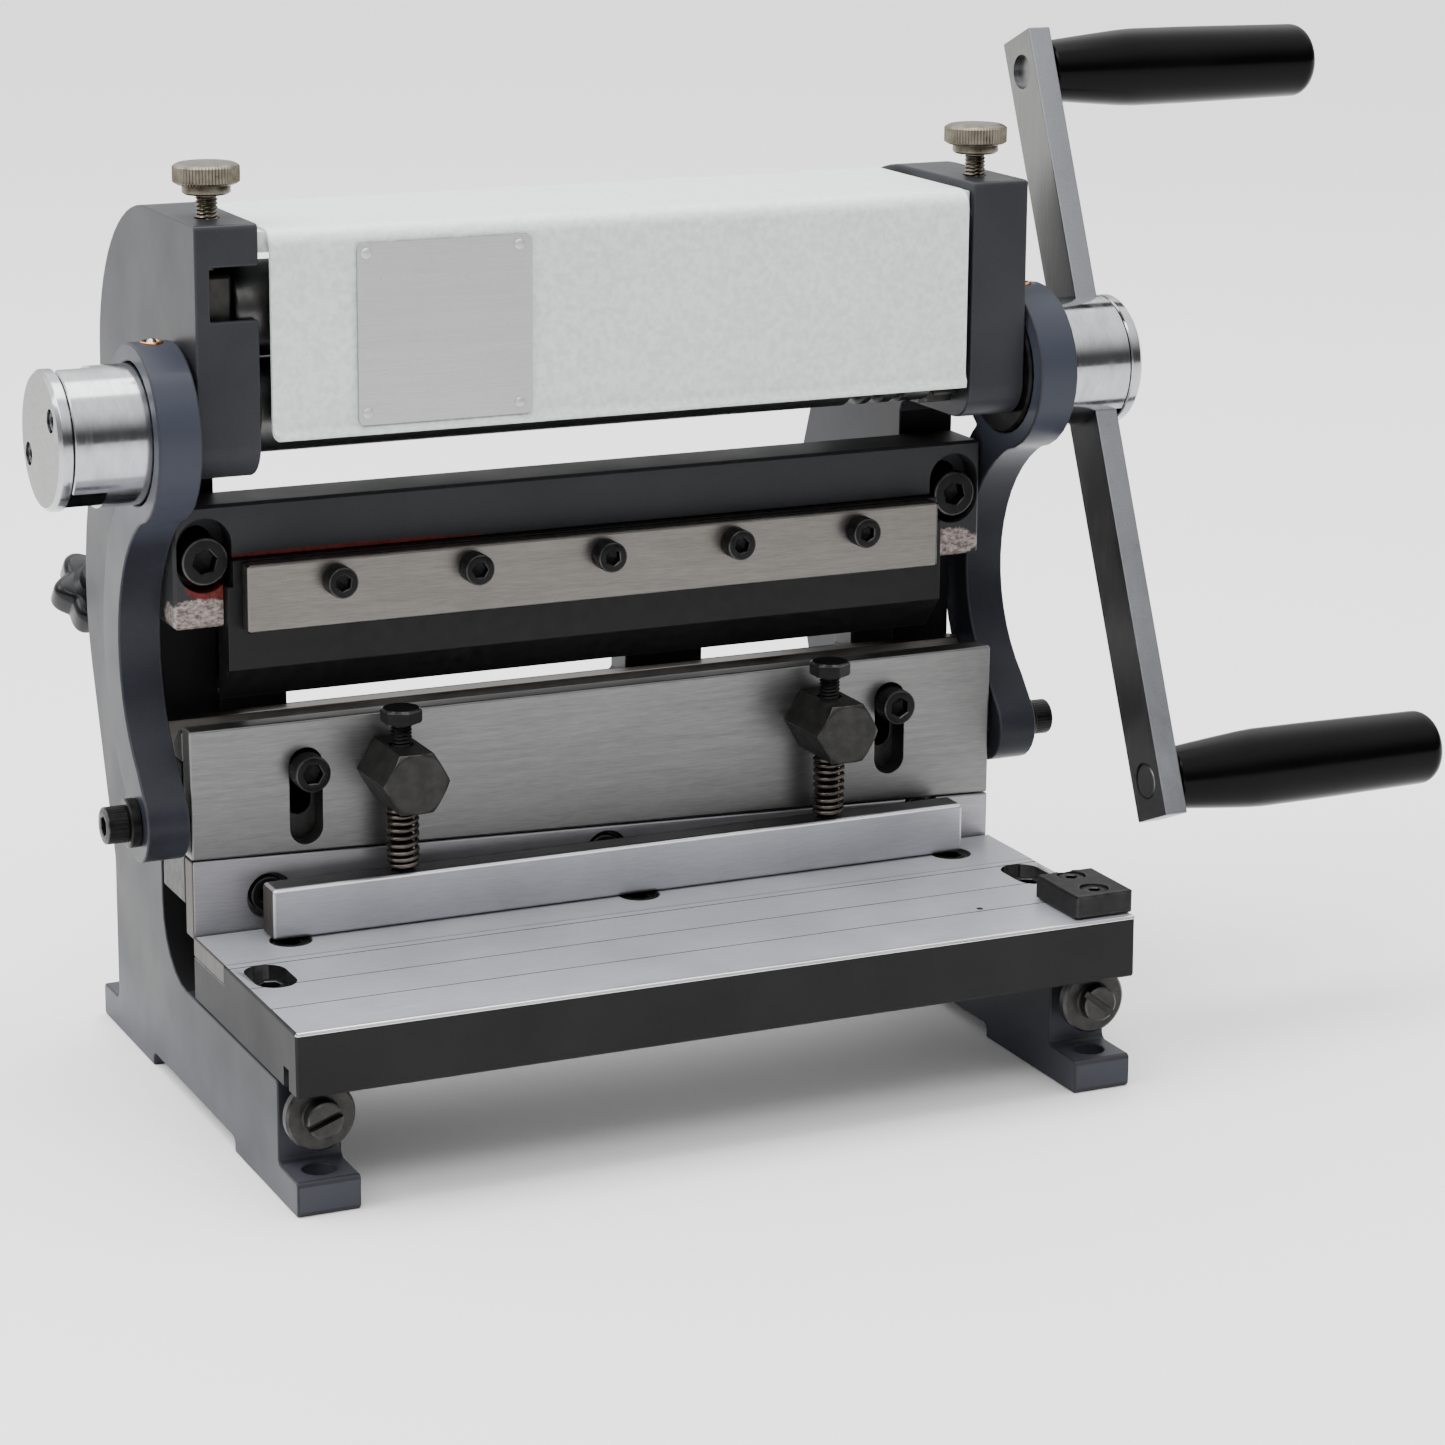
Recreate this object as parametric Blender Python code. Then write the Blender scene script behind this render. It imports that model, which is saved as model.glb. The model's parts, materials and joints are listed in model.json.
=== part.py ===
"""Bench-top combination sheet metal machine: shear, brake and slip roll in one stand.

Metres, +Z up, +X to the operator's right, +Y away from the operator.
The machine is drawn with X zero midway between the end frames, Y zero at the table's
front face and Z zero at the feet. At the end the whole model is moved so that its
origin lies under the middle of its box.
"""
import math

import bmesh
import bpy
from mathutils import Matrix, Vector

for old in list(bpy.data.objects):
    bpy.data.objects.remove(old, do_unlink=True)

MM = 0.001

# Clearances
SEAT_GAP = 0.3 * MM
RUN_GAP = 0.4 * MM
OVERRUN = 2.0 * MM

# Overall
WIDTH_OVERALL = 240.0 * MM
FRAME_THICKNESS = 17.0 * MM
CRANK_OVERHANG = 25.8 * MM
CRANK_RISE = 17.25 * MM
ECCENTRIC_THROW = 5.25 * MM
RAM_STROKE = 2.0 * ECCENTRIC_THROW

# End frames
FOOT_FRONT = 0.8 * MM
FOOT_HEIGHT = 9.3 * MM
FOOT_LENGTH = 14.6 * MM
FOOT_HOLE_RADIUS = 4.2 * MM
FOOT_HOLE_INSET = 7.9 * MM
REAR_LEG_SETBACK = 44.7 * MM
FRAME_SOLE_RISE = 3.8 * MM
FRONT_SOLE_LENGTH = 50.2 * MM
REAR_SOLE_LENGTH = 47.6 * MM
FRAME_SOLE_FILLET = 1.6 * MM
COLUMN_FOOT_FILLET = 20.0 * MM
COLUMN_HEAD_FILLET = 4.0 * MM
HEAD_OVERHANG = 15.5 * MM
HEAD_GAP = 10.5 * MM
HEAD_OVER_ROLL = 24.15 * MM
HEAD_CHIN_RADIUS = 10.0 * MM
HEAD_SETBACK = 46.5 * MM
HEAD_BACK_RADIUS = 46.0 * MM
HEAD_BACK_RISE = 18.0 * MM
HEAD_BACK_FILLET = 4.0 * MM
BULGE_SETBACK = 24.7 * MM
BULGE_DROP = 65.5 * MM
BULGE_RADIUS = 70.0 * MM
REAR_LEG_TOP = 51.0 * MM
REAR_LEG_FILLET = 8.0 * MM
CASTING_EDGE = 0.8 * MM

# Head pockets
HEAD_OUTER_WALL = 4.0 * MM
WINDOW_DROP = 10.8 * MM
WINDOW_HEIGHT = 14.0 * MM

# Rolls
ROLL_RADIUS = 12.5 * MM
ROLL_NIP = 0.4 * MM
ROLL_END_GAP = 0.6 * MM
JOURNAL_RADIUS = 8.0 * MM
SHAFT_STUB = 20.0 * MM
GEAR_WIDTH = 7.5 * MM
GEAR_TEETH = 16
GEAR_BACKLASH = 0.45 * MM
TOOTH_DEPTH = 2.9 * MM
TOOTH_ROOT_SHARE = 0.36
TOOTH_TIP_SHARE = 0.13
WIRE_GROOVE_SPACING = 6.5 * MM
WIRE_GROOVE_RADII = (2.4 * MM, 1.9 * MM, 1.4 * MM)
WIRE_GROOVE_STEPS = 2
UPPER_JOURNAL_RADIUS = 6.0 * MM
UPPER_ROLL_REACH = 5.0 * MM
PINCH_TRAVEL = 1.2 * MM
PINCH_BLOCK_WIDTH = 20.0 * MM
PINCH_BLOCK_HEIGHT = 21.0 * MM
REAR_ROLL_SETBACK = 38.5 * MM
REAR_ROLL_DROP = 0.25 * MM
REAR_ROLL_TRAVEL = 11.0 * MM
REAR_JOURNAL_RADIUS = 6.0 * MM
REAR_BLOCK_SIZE = 17.0 * MM
REAR_SLOPE = math.radians(45.0)

# Thumb screws over the upper roll
THUMB_STEM_RADIUS = 2.9 * MM
THUMB_RISE = 6.7 * MM
THUMB_COLLAR_RADIUS = 6.3 * MM
THUMB_COLLAR_HEIGHT = 2.6 * MM
THUMB_HEAD_RADIUS = 9.1 * MM
THUMB_HEAD_HEIGHT = 5.0 * MM
THUMB_HEAD_EDGE = 0.8 * MM

# Star knobs behind the frames
KNOB_RADIUS = 13.0 * MM
KNOB_VALLEY_RADIUS = 10.2 * MM
KNOB_LOBES = 6
KNOB_THICKNESS = 10.0 * MM
KNOB_EDGE = 2.0 * MM
KNOB_NECK_RADIUS = 6.0 * MM
KNOB_NECK_LENGTH = 5.0 * MM
KNOB_REACH = 98.2 * MM
KNOB_VALLEY_SHARE = 0.62
KNOB_SCREW_RADIUS = 3.9 * MM

# Table and shear
TABLE_THICKNESS = 17.3 * MM
TABLE_DEPTH = 82.9 * MM
TABLE_EDGE = 0.5 * MM
LOWER_BLADE_WIDTH = 25.9 * MM
LOWER_BLADE_THICKNESS = 5.3 * MM
TABLE_BOLT_SETBACK = 12.5 * MM
TABLE_SLOT_WIDTH = 11.0 * MM
TABLE_SLOT_LENGTH = 19.0 * MM
TABLE_SLOT_DEPTH = 8.5 * MM
TABLE_TRAVEL = 0.9 * MM
ADJUSTER_DROP = 7.8 * MM
ADJUSTER_RISE = 14.7 * MM
ADJUSTER_GROOVE_Y = 8.0 * MM
ADJUSTER_FLANGE_RADIUS = 9.3 * MM
ADJUSTER_FLANGE_THICKNESS = 3.2 * MM
ADJUSTER_BOSS_RADIUS = 4.8 * MM
ADJUSTER_BOSS_LENGTH = 3.8 * MM
ADJUSTER_SLOT_WIDTH = 1.8 * MM
ADJUSTER_SLOT_DEPTH = 1.8 * MM
ADJUSTER_STEM_RADIUS = 3.9 * MM
ADJUSTER_STEM_LENGTH = 18.0 * MM
ADJUSTER_GROOVE_DEPTH = 5.8 * MM
ADJUSTER_SLOT_TILTS = {"left": math.radians(20.0), "right": math.radians(-38.0)}
STOP_WIDTH = 17.7 * MM
STOP_DEPTH = 22.2 * MM
STOP_HEIGHT = 6.6 * MM
STOP_FRONT = 1.8 * MM
STOP_BORE_RADIUS = 4.0 * MM
STOP_BORE_DEPTH = 4.2 * MM
STOP_BORE_SPACING = 12.5 * MM
STOP_BORE_INSET = 5.7 * MM

# Ram
RAM_PLATE_THICKNESS = 6.4 * MM
RAM_PLATE_RISE = 1.9 * MM
RAM_PLATE_LIFT = 20.7 * MM
BLADE_RAKE_DROP = 8.1 * MM
BLADE_HEIGHT = 21.5 * MM
BLADE_THICKNESS = 6.4 * MM
RAM_BODY_LIFT = 6.9 * MM
RAM_BODY_HEIGHT = 39.3 * MM
RAM_BODY_DEPTH = 19.6 * MM
RAM_EDGE = 0.4 * MM
DIE_HEIGHT = 7.7 * MM
DIE_VEE_DEPTH = 5.2 * MM
DIE_SETBACK = 1.4 * MM
GUIDE_INSET = 15.5 * MM
GUIDE_DROP = 13.5 * MM
GUIDE_SLOT_WIDTH = 9.0 * MM
GUIDE_SLOT_BELOW = 20.7 * MM
GUIDE_SLOT_ABOVE = 5.7 * MM
BODY_SLOT_WIDTH = 7.0 * MM
BODY_SLOT_BELOW = 14.2 * MM

# Hold-down
HOLD_INSET = 39.3 * MM
HOLD_STANDOFF = 9.1 * MM
POST_NOSE = 12.5 * MM
POST_DROP = 15.0 * MM
POST_FLATS = 16.5 * MM
POST_CHAMFER = 0.9 * MM
BAR_LEFT_INSET = 1.0 * MM
BAR_RIGHT_LAP = 1.5 * MM
BAR_DEPTH = 9.0 * MM
BAR_HEIGHT = 14.1 * MM
BAR_EDGE = 0.8 * MM
HOLD_LIFT = 6.2 * MM
HOLD_BOLT_FLATS = 10.0 * MM
HOLD_BOLT_HEAD = 3.8 * MM
HOLD_BOLT_RADIUS = 2.9 * MM
HOLD_BOLT_GRIP = 7.0 * MM
SPRING_RADIUS = 3.9 * MM
SPRING_WIRE_RADIUS = 0.6 * MM
SPRING_TURNS = 9
SPRING_POINTS = 9

# Upper beam and brake
BEAM_DEPTH = 17.0 * MM
BEAM_HEIGHT = 33.0 * MM
BRAKE_OPENING = 27.2 * MM
BEAM_EDGE = 0.8 * MM
BEAM_BOLT_RISE = 18.1 * MM
BEAM_SLOT_WIDTH = 15.0 * MM
BEAM_SLOT_RISE = 5.0 * MM
BEAM_RECESS_LIFT = 1.5 * MM
BEAM_SLOT_DEPTH = 7.5 * MM
REBATE_HEIGHT = 18.5 * MM
REBATE_DEPTH = 6.3 * MM
PUNCH_END_LAP = 3.2 * MM
PUNCH_THICKNESS = 9.0 * MM
PUNCH_TIP_FLAT = 0.7 * MM
PUNCH_TIP_GAP = 0.8 * MM
PUNCH_BEVEL = math.radians(41.0)
STRIP_END_STEP = 3.8 * MM
STRIP_DROP = 0.6 * MM
STRIP_HEIGHT = 18.5 * MM
STRIP_THICKNESS = 5.0 * MM
STRIP_EDGE = 0.4 * MM
CLAMP_COUNT = 5
CLAMP_END_INSET = 24.9 * MM
CLAMP_DROP = 5.9 * MM

# Tie beam behind the ram
TIE_DEPTH = 11.7 * MM
TIE_LIFT = 4.0 * MM
TIE_HEIGHT = 40.0 * MM
TIE_LUG_RISE = 8.0 * MM
TIE_LEFT_LUG = 19.5 * MM
TIE_MIDDLE_LUG = (17.5 * MM, 41.2 * MM)
TIE_RIGHT_LUG = 13.9 * MM

# Cover over the rolls
COVER_SIDE_GAP = 2.5 * MM
COVER_STEP = 2.0 * MM
COVER_DROP = 1.8 * MM
COVER_HEIGHT = 54.2 * MM
COVER_SHEET = 1.2 * MM
COVER_BEND = 5.0 * MM
COVER_REACH = 59.0 * MM
COVER_BACK_LIP = 8.0 * MM
COVER_LIP = 2.4 * MM
COVER_LIP_RISE = 2.0 * MM
COVER_TAB_HEIGHT = 6.0 * MM
COVER_TAB_INSET = 4.0 * MM
COVER_TAB_LENGTH = 37.0 * MM
COVER_TAB_THICKNESS = 1.6 * MM
PLATE_INSET = 23.0 * MM
PLATE_WIDTH = 48.4 * MM
PLATE_HEIGHT = 47.3 * MM
PLATE_RISE = 2.4 * MM
PLATE_THICKNESS = 0.8 * MM

# Hubs, arms and lever
HUB_RADIUS = 18.3 * MM
HUB_LENGTH = 37.0 * MM
HUB_CAP = 4.0 * MM
HUB_EDGE = 0.7 * MM
HUB_SLOT_SPARE = 1.9 * MM
ARM_SIDE_GAP = 1.2 * MM
ARM_THICKNESS = 11.6 * MM
RING_RADIUS = 23.5 * MM
ARM_EYE_SETBACK = 5.5 * MM
ARM_EYE_DROP = 105.5 * MM
ARM_EYE_RADIUS = 10.8 * MM
ARM_WIDTH = 14.0 * MM
ARM_BOW_SAG = 21.94 * MM
ARM_BOW_TOP_ADVANCE = 3.8 * MM
ARM_BOW_TOP_DROP = 15.6 * MM
ARM_BOW_LOW_SETBACK = 2.8 * MM
ARM_BOW_LOW_RISE = 9.1 * MM
ARM_NECK_ANGLE = math.radians(150.0)
ARM_COLLAR_RADIUS = 6.6 * MM
ARM_COLLAR_LENGTH = 3.0 * MM
LEVER_TILT = math.radians(22.9)
LEVER_WIDTH = 16.0 * MM
LEVER_THICKNESS = 7.0 * MM
LEVER_UP = 85.5 * MM
LEVER_DOWN = 121.3 * MM
LEVER_TIP = 10.8 * MM
LEVER_EDGE = 0.5 * MM
SPINDLE_RADIUS = 3.6 * MM
GRIP_GAP = 4.0 * MM
SPINDLE_SHOULDER_RADIUS = 5.5 * MM
GRIP_LENGTH = 83.5 * MM
GRIP_NECK_RADIUS = 9.1 * MM
GRIP_WAIST_RADIUS = 11.2 * MM
GRIP_WAIST_SHARE = 0.33
GRIP_END_RADIUS = 10.65 * MM
GRIP_END_ROUND = 4.5 * MM
GRIP_END_WALL = 11.0 * MM
SPINDLE_END_GAP = 2.0 * MM

# Socket screws: shank radius, head radius, head height, key flats
M5_SOCKET = (2.4 * MM, 4.25 * MM, 5.0 * MM, 4.0 * MM)
M6_SOCKET = (2.9 * MM, 5.0 * MM, 6.0 * MM, 5.0 * MM)
M8_SOCKET = (3.9 * MM, 6.5 * MM, 8.0 * MM, 6.0 * MM)
SCREW_BITE = 9.0 * MM
SCREW_EDGE = 0.5 * MM

# Facets
ROUND = 24
SMALL_ROUND = 12
HUB_ROUND = 32
ARC_STEPS = 6
LONG_ARC_STEPS = 16

# Worked out from the sizes above: across
HALF_WIDTH = WIDTH_OVERALL / 2
FRAME_INNER = HALF_WIDTH - FRAME_THICKNESS
FRAME_MID = HALF_WIDTH - FRAME_THICKNESS / 2
RAM_HALF_WIDTH = HALF_WIDTH - SEAT_GAP
PUNCH_HALF_LENGTH = FRAME_INNER + PUNCH_END_LAP
STRIP_HALF_LENGTH = PUNCH_HALF_LENGTH - STRIP_END_STEP
CLAMP_PITCH = 2 * (STRIP_HALF_LENGTH - CLAMP_END_INSET) / (CLAMP_COUNT - 1)
BEAM_BOLT_X = FRAME_MID
GUIDE_X = FRAME_INNER - GUIDE_INSET
HOLD_X = FRAME_INNER - HOLD_INSET
BAR_LEFT = -FRAME_INNER + BAR_LEFT_INSET
BAR_RIGHT = FRAME_INNER + BAR_RIGHT_LAP
COVER_HALF_WIDTH = FRAME_INNER - COVER_SIDE_GAP
PLATE_LEFT = -COVER_HALF_WIDTH + PLATE_INSET
ROLL_END = FRAME_INNER - ROLL_END_GAP
GEAR_START = ROLL_END - GEAR_WIDTH
JOURNAL_END = HALF_WIDTH - HEAD_OUTER_WALL - ROLL_END_GAP
SHAFT_END = HALF_WIDTH + SHAFT_STUB
ARM_INNER = HALF_WIDTH + ARM_SIDE_GAP
ARM_OUTER = ARM_INNER + ARM_THICKNESS
HUB_END = HALF_WIDTH + HUB_LENGTH
CAP_INNER = HUB_END - HUB_CAP
SLOT_INNER = CAP_INNER - LEVER_THICKNESS - HUB_SLOT_SPARE
LEVER_X = SLOT_INNER + SEAT_GAP + LEVER_THICKNESS / 2

# Worked out: from front to back
BLADE_FRONT = TABLE_DEPTH - LOWER_BLADE_WIDTH
TABLE_BOLT_Y = BLADE_FRONT - TABLE_BOLT_SETBACK
RAM_PLATE_FRONT = TABLE_DEPTH + SEAT_GAP + RUN_GAP
RAM_BODY_FRONT = RAM_PLATE_FRONT + RAM_PLATE_THICKNESS + SEAT_GAP
RAM_BODY_BACK = RAM_BODY_FRONT + RAM_BODY_DEPTH
DIE_BACK = RAM_BODY_BACK - DIE_SETBACK
HOLD_Y = RAM_PLATE_FRONT - HOLD_STANDOFF
POST_FRONT = HOLD_Y - POST_NOSE
COLUMN_FRONT = RAM_BODY_BACK + RUN_GAP
BEAM_BACK = COLUMN_FRONT - SEAT_GAP
BEAM_FRONT = BEAM_BACK - BEAM_DEPTH
PUNCH_BACK = BEAM_FRONT + REBATE_DEPTH - SEAT_GAP
PUNCH_FRONT = PUNCH_BACK - PUNCH_THICKNESS
VEE_Y = PUNCH_BACK - PUNCH_TIP_FLAT / 2
STRIP_BACK = PUNCH_FRONT - SEAT_GAP
CRANK_Y = COLUMN_FRONT - CRANK_OVERHANG
REAR_ROLL_Y = CRANK_Y + REAR_ROLL_SETBACK
HEAD_FRONT = CRANK_Y - HEAD_OVERHANG
HEAD_BACK = COLUMN_FRONT + HEAD_SETBACK
BULGE_Y = HEAD_BACK + BULGE_SETBACK
FRAME_REAR_LEG = COLUMN_FRONT + REAR_LEG_SETBACK
FRAME_SOLE_FRONT = FOOT_FRONT + FRONT_SOLE_LENGTH
FRAME_SOLE_REAR = FRAME_REAR_LEG + FOOT_LENGTH - REAR_SOLE_LENGTH
COVER_FRONT = HEAD_FRONT - COVER_STEP
COVER_BACK = COVER_FRONT + COVER_REACH
ARM_EYE_Y = CRANK_Y + ARM_EYE_SETBACK

# Worked out: from the feet up
ADJUSTER_Z = FOOT_HEIGHT + ADJUSTER_RISE
TABLE_BOTTOM = ADJUSTER_Z + ADJUSTER_DROP
TABLE_TOP = TABLE_BOTTOM + TABLE_THICKNESS
LEDGE_Z = TABLE_BOTTOM - SEAT_GAP
BAR_BOTTOM = TABLE_TOP + SEAT_GAP
BAR_TOP = BAR_BOTTOM + BAR_HEIGHT
RAM_BODY_BOTTOM = TABLE_TOP + RAM_BODY_LIFT
RAM_PLATE_LEFT_BOTTOM = TABLE_TOP + RAM_PLATE_LIFT
DIE_BOTTOM = RAM_BODY_BOTTOM + RAM_BODY_HEIGHT + SEAT_GAP
DIE_TOP = DIE_BOTTOM + DIE_HEIGHT
RAM_PLATE_TOP = DIE_TOP + RAM_PLATE_RISE
GUIDE_Z = RAM_PLATE_TOP - GUIDE_DROP
GUIDE_SLOT_BOTTOM = GUIDE_Z - GUIDE_SLOT_BELOW
GUIDE_SLOT_TOP = GUIDE_Z + GUIDE_SLOT_ABOVE
BODY_SLOT_BOTTOM = GUIDE_Z - BODY_SLOT_BELOW
POST_Z = RAM_PLATE_TOP - POST_DROP
POST_BOTTOM = POST_Z - POST_FLATS / 2
TIE_BOTTOM = RAM_BODY_BOTTOM + TIE_LIFT
TIE_TOP = TIE_BOTTOM + TIE_HEIGHT
TIE_LUG_TOP = TIE_TOP + TIE_LUG_RISE
PUNCH_TIP_Z = DIE_TOP - DIE_VEE_DEPTH + RAM_STROKE + PUNCH_TIP_GAP
BEAM_BOTTOM = DIE_TOP + BRAKE_OPENING
BEAM_TOP = BEAM_BOTTOM + BEAM_HEIGHT
BEAM_BOLT_Z = BEAM_BOTTOM + BEAM_BOLT_RISE
REBATE_TOP = BEAM_BOTTOM + REBATE_HEIGHT
STRIP_BOTTOM = BEAM_BOTTOM - STRIP_DROP
STRIP_TOP = STRIP_BOTTOM + STRIP_HEIGHT
CLAMP_Z = STRIP_TOP - CLAMP_DROP
HEAD_BOTTOM = BEAM_TOP + HEAD_GAP
HEAD_BACK_BOTTOM = HEAD_BOTTOM + HEAD_BACK_RISE
BULGE_Z = HEAD_BACK_BOTTOM - BULGE_DROP
CRANK_Z = HEAD_BOTTOM + CRANK_RISE
HUB_Z = CRANK_Z - ECCENTRIC_THROW
ROLL_SPACING = 2 * ROLL_RADIUS + ROLL_NIP
UPPER_ROLL_Z = CRANK_Z + ROLL_SPACING
REAR_ROLL_Z = CRANK_Z - REAR_ROLL_DROP
FRAME_TOP = UPPER_ROLL_Z + HEAD_OVER_ROLL
WINDOW_TOP = FRAME_TOP - WINDOW_DROP
WINDOW_BOTTOM = WINDOW_TOP - WINDOW_HEIGHT
COVER_TOP = FRAME_TOP - COVER_DROP
COVER_BOTTOM = COVER_TOP - COVER_HEIGHT
PLATE_BOTTOM = COVER_BOTTOM + PLATE_RISE
ARM_EYE_Z = HUB_Z - ARM_EYE_DROP

SIDES = (("left", -1), ("right", 1))


def material(name, colour, roughness, metallic=0.0):
    made = bpy.data.materials.new(name)
    made.use_nodes = True
    shader = made.node_tree.nodes["Principled BSDF"]
    shader.inputs["Base Color"].default_value = (*colour, 1.0)
    shader.inputs["Roughness"].default_value = roughness
    shader.inputs["Metallic"].default_value = metallic
    return made


CASTING = material("grey_casting_paint", (0.060, 0.064, 0.078), 0.45)
COVER_PAINT = material("pale_cover_paint", (0.74, 0.80, 0.76), 0.40)
GROUND_STEEL = material("ground_steel", (0.42, 0.42, 0.44), 0.38, 1.0)
WARM_STEEL = material("warm_steel", (0.40, 0.38, 0.35), 0.42, 1.0)
CHROME = material("bright_steel", (0.78, 0.78, 0.78), 0.12, 1.0)
BLACK_OXIDE = material("black_oxide", (0.018, 0.018, 0.020), 0.42, 0.6)
DARK_STEEL = material("dark_steel", (0.050, 0.048, 0.048), 0.48, 0.7)
NICKEL = material("nickel", (0.46, 0.42, 0.34), 0.34, 1.0)
SPRING_STEEL = material("spring_steel", (0.20, 0.16, 0.13), 0.38, 1.0)
GRIP_PLASTIC = material("grip_plastic", (0.006, 0.006, 0.008), 0.16)
PLATE_METAL = material("plate_metal", (0.62, 0.62, 0.62), 0.35, 0.9)

MACHINE = bpy.data.objects.new("machine", None)
bpy.context.collection.objects.link(MACHINE)
SOLIDS = []


def close_mesh(name, bm, look, smooth=True, angle=math.radians(35.0)):
    """Turn a bmesh into a named solid that hangs from the machine's empty."""
    bmesh.ops.remove_doubles(bm, verts=bm.verts, dist=SEAT_GAP / 100)
    bmesh.ops.recalc_face_normals(bm, faces=bm.faces)
    mesh = bpy.data.meshes.new(name)
    bm.to_mesh(mesh)
    bm.free()
    if smooth:
        mesh.shade_smooth()
        mesh.set_sharp_from_angle(angle=angle)
    solid = bpy.data.objects.new(name, mesh)
    solid.data.materials.append(look)
    bpy.context.collection.objects.link(solid)
    solid.parent = MACHINE
    SOLIDS.append(solid)
    return solid


def as_cutter(solid):
    SOLIDS.remove(solid)
    solid.hide_render = True
    solid.display_type = "WIRE"
    return solid


def combine(solid, tool, operation="DIFFERENCE"):
    as_cutter(tool)
    tool.parent = solid
    step = solid.modifiers.new(tool.name, "BOOLEAN")
    step.operation = operation
    step.solver = "EXACT"
    step.object = tool
    return solid


def soften(solid, width, segments=1):
    step = solid.modifiers.new("edge", "BEVEL")
    step.width = width
    step.segments = segments
    step.limit_method = "ANGLE"
    step.angle_limit = math.radians(40.0)
    step.use_clamp_overlap = True
    return solid


def block(name, low, high, look):
    bm = bmesh.new()
    bmesh.ops.create_cube(bm, size=1.0)
    size = [high[i] - low[i] for i in range(3)]
    middle = [(high[i] + low[i]) / 2 for i in range(3)]
    bmesh.ops.transform(bm, matrix=Matrix.LocRotScale(Vector(middle), None, Vector(size)), verts=bm.verts)
    return close_mesh(name, bm, look, smooth=False)


def arc(centre, radius, start, end, steps):
    """Points along an arc, both ends included; angles in radians."""
    return [(centre[0] + radius * math.cos(start + (end - start) * i / steps),
             centre[1] + radius * math.sin(start + (end - start) * i / steps))
            for i in range(steps + 1)]


def rounded(corners):
    """Outline from (u, v, radius, steps) corners, each corner replaced by its arc."""
    outline = []
    count = len(corners)
    for index, (u, v, radius, steps) in enumerate(corners):
        here = Vector((u, v))
        if not radius:
            outline.append((u, v))
            continue
        before = (Vector(corners[index - 1][:2]) - here).normalized()
        after = (Vector(corners[(index + 1) % count][:2]) - here).normalized()
        half = before.angle(after) / 2
        reach = radius / math.tan(half)
        centre = here + (before + after).normalized() * (radius / math.sin(half))
        first = here + before * reach - centre
        last = here + after * reach - centre
        start = math.atan2(first.y, first.x)
        turn = (math.atan2(last.y, last.x) - start + math.pi) % (2 * math.pi) - math.pi
        outline += arc(centre, radius, start, start + turn, steps)
    return outline


def prism(name, outline, low, high, look, axis="x"):
    """Solid between two parallel copies of an outline.

    The outline's two numbers are (y, z) for axis x, (x, z) for axis y and (x, y) for axis z.
    """
    def place(pair, depth):
        if axis == "x":
            return (depth, pair[0], pair[1])
        if axis == "y":
            return (pair[0], depth, pair[1])
        return (pair[0], pair[1], depth)

    bm = bmesh.new()
    near = [bm.verts.new(place(pair, low)) for pair in outline]
    far = [bm.verts.new(place(pair, high)) for pair in outline]
    bm.faces.new(near)
    bm.faces.new(list(reversed(far)))
    for index in range(len(outline)):
        after = (index + 1) % len(outline)
        bm.faces.new((near[index], far[index], far[after], near[after]))
    return close_mesh(name, bm, look)


def turned(name, base, direction, profile, look, sides=ROUND):
    """Solid of revolution from (distance, radius) pairs along a line from base."""
    along = Vector(direction).normalized()
    turn = along.to_track_quat("Z", "Y").to_matrix()
    bm = bmesh.new()
    rings = []
    for distance, radius in profile:
        if radius == 0:
            rings.append([bm.verts.new(Vector(base) + turn @ Vector((0, 0, distance)))])
            continue
        ring = []
        for step in range(sides):
            angle = 2 * math.pi * step / sides
            spot = Vector((radius * math.cos(angle), radius * math.sin(angle), distance))
            ring.append(bm.verts.new(Vector(base) + turn @ spot))
        rings.append(ring)
    for lower, upper in zip(rings, rings[1:]):
        for step in range(sides):
            after = (step + 1) % sides
            if len(lower) == 1:
                bm.faces.new((lower[0], upper[step], upper[after]))
            elif len(upper) == 1:
                bm.faces.new((lower[step], lower[after], upper[0]))
            else:
                bm.faces.new((lower[step], lower[after], upper[after], upper[step]))
    for ring in (rings[0], rings[-1]):
        if len(ring) > 1:
            bm.faces.new(ring)
    return close_mesh(name, bm, look)


def rod(name, base, direction, radius, length, look, edge=0.0, sides=ROUND):
    """Plain round bar, with both rims chamfered where edge is given."""
    profile = [(0.0, radius), (length, radius)]
    if edge:
        profile = [(0.0, radius - edge), (edge, radius), (length - edge, radius), (length, radius - edge)]
    return turned(name, base, direction, profile, look, sides)


def stadium(centre, width, length, axis=1, steps=SMALL_ROUND // 2):
    """Round-ended slot outline; length runs along the outline's first or second number."""
    radius = width / 2
    reach = (length - width) / 2
    quarter = math.pi / 2
    ends = []
    for sign in (1, -1):
        middle = (centre[0], centre[1] + sign * reach) if axis else (centre[0] + sign * reach, centre[1])
        start = (0.0 if sign > 0 else math.pi) if axis else (-quarter if sign > 0 else quarter)
        ends += arc(middle, radius, start, start + math.pi, steps)
    return ends


def hexagon(centre, flats, tilt=0.0):
    reach = flats / 2 / math.cos(math.pi / 6)
    return [(centre[0] + reach * math.cos(tilt + i * math.pi / 3),
             centre[1] + reach * math.sin(tilt + i * math.pi / 3)) for i in range(6)]


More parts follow.
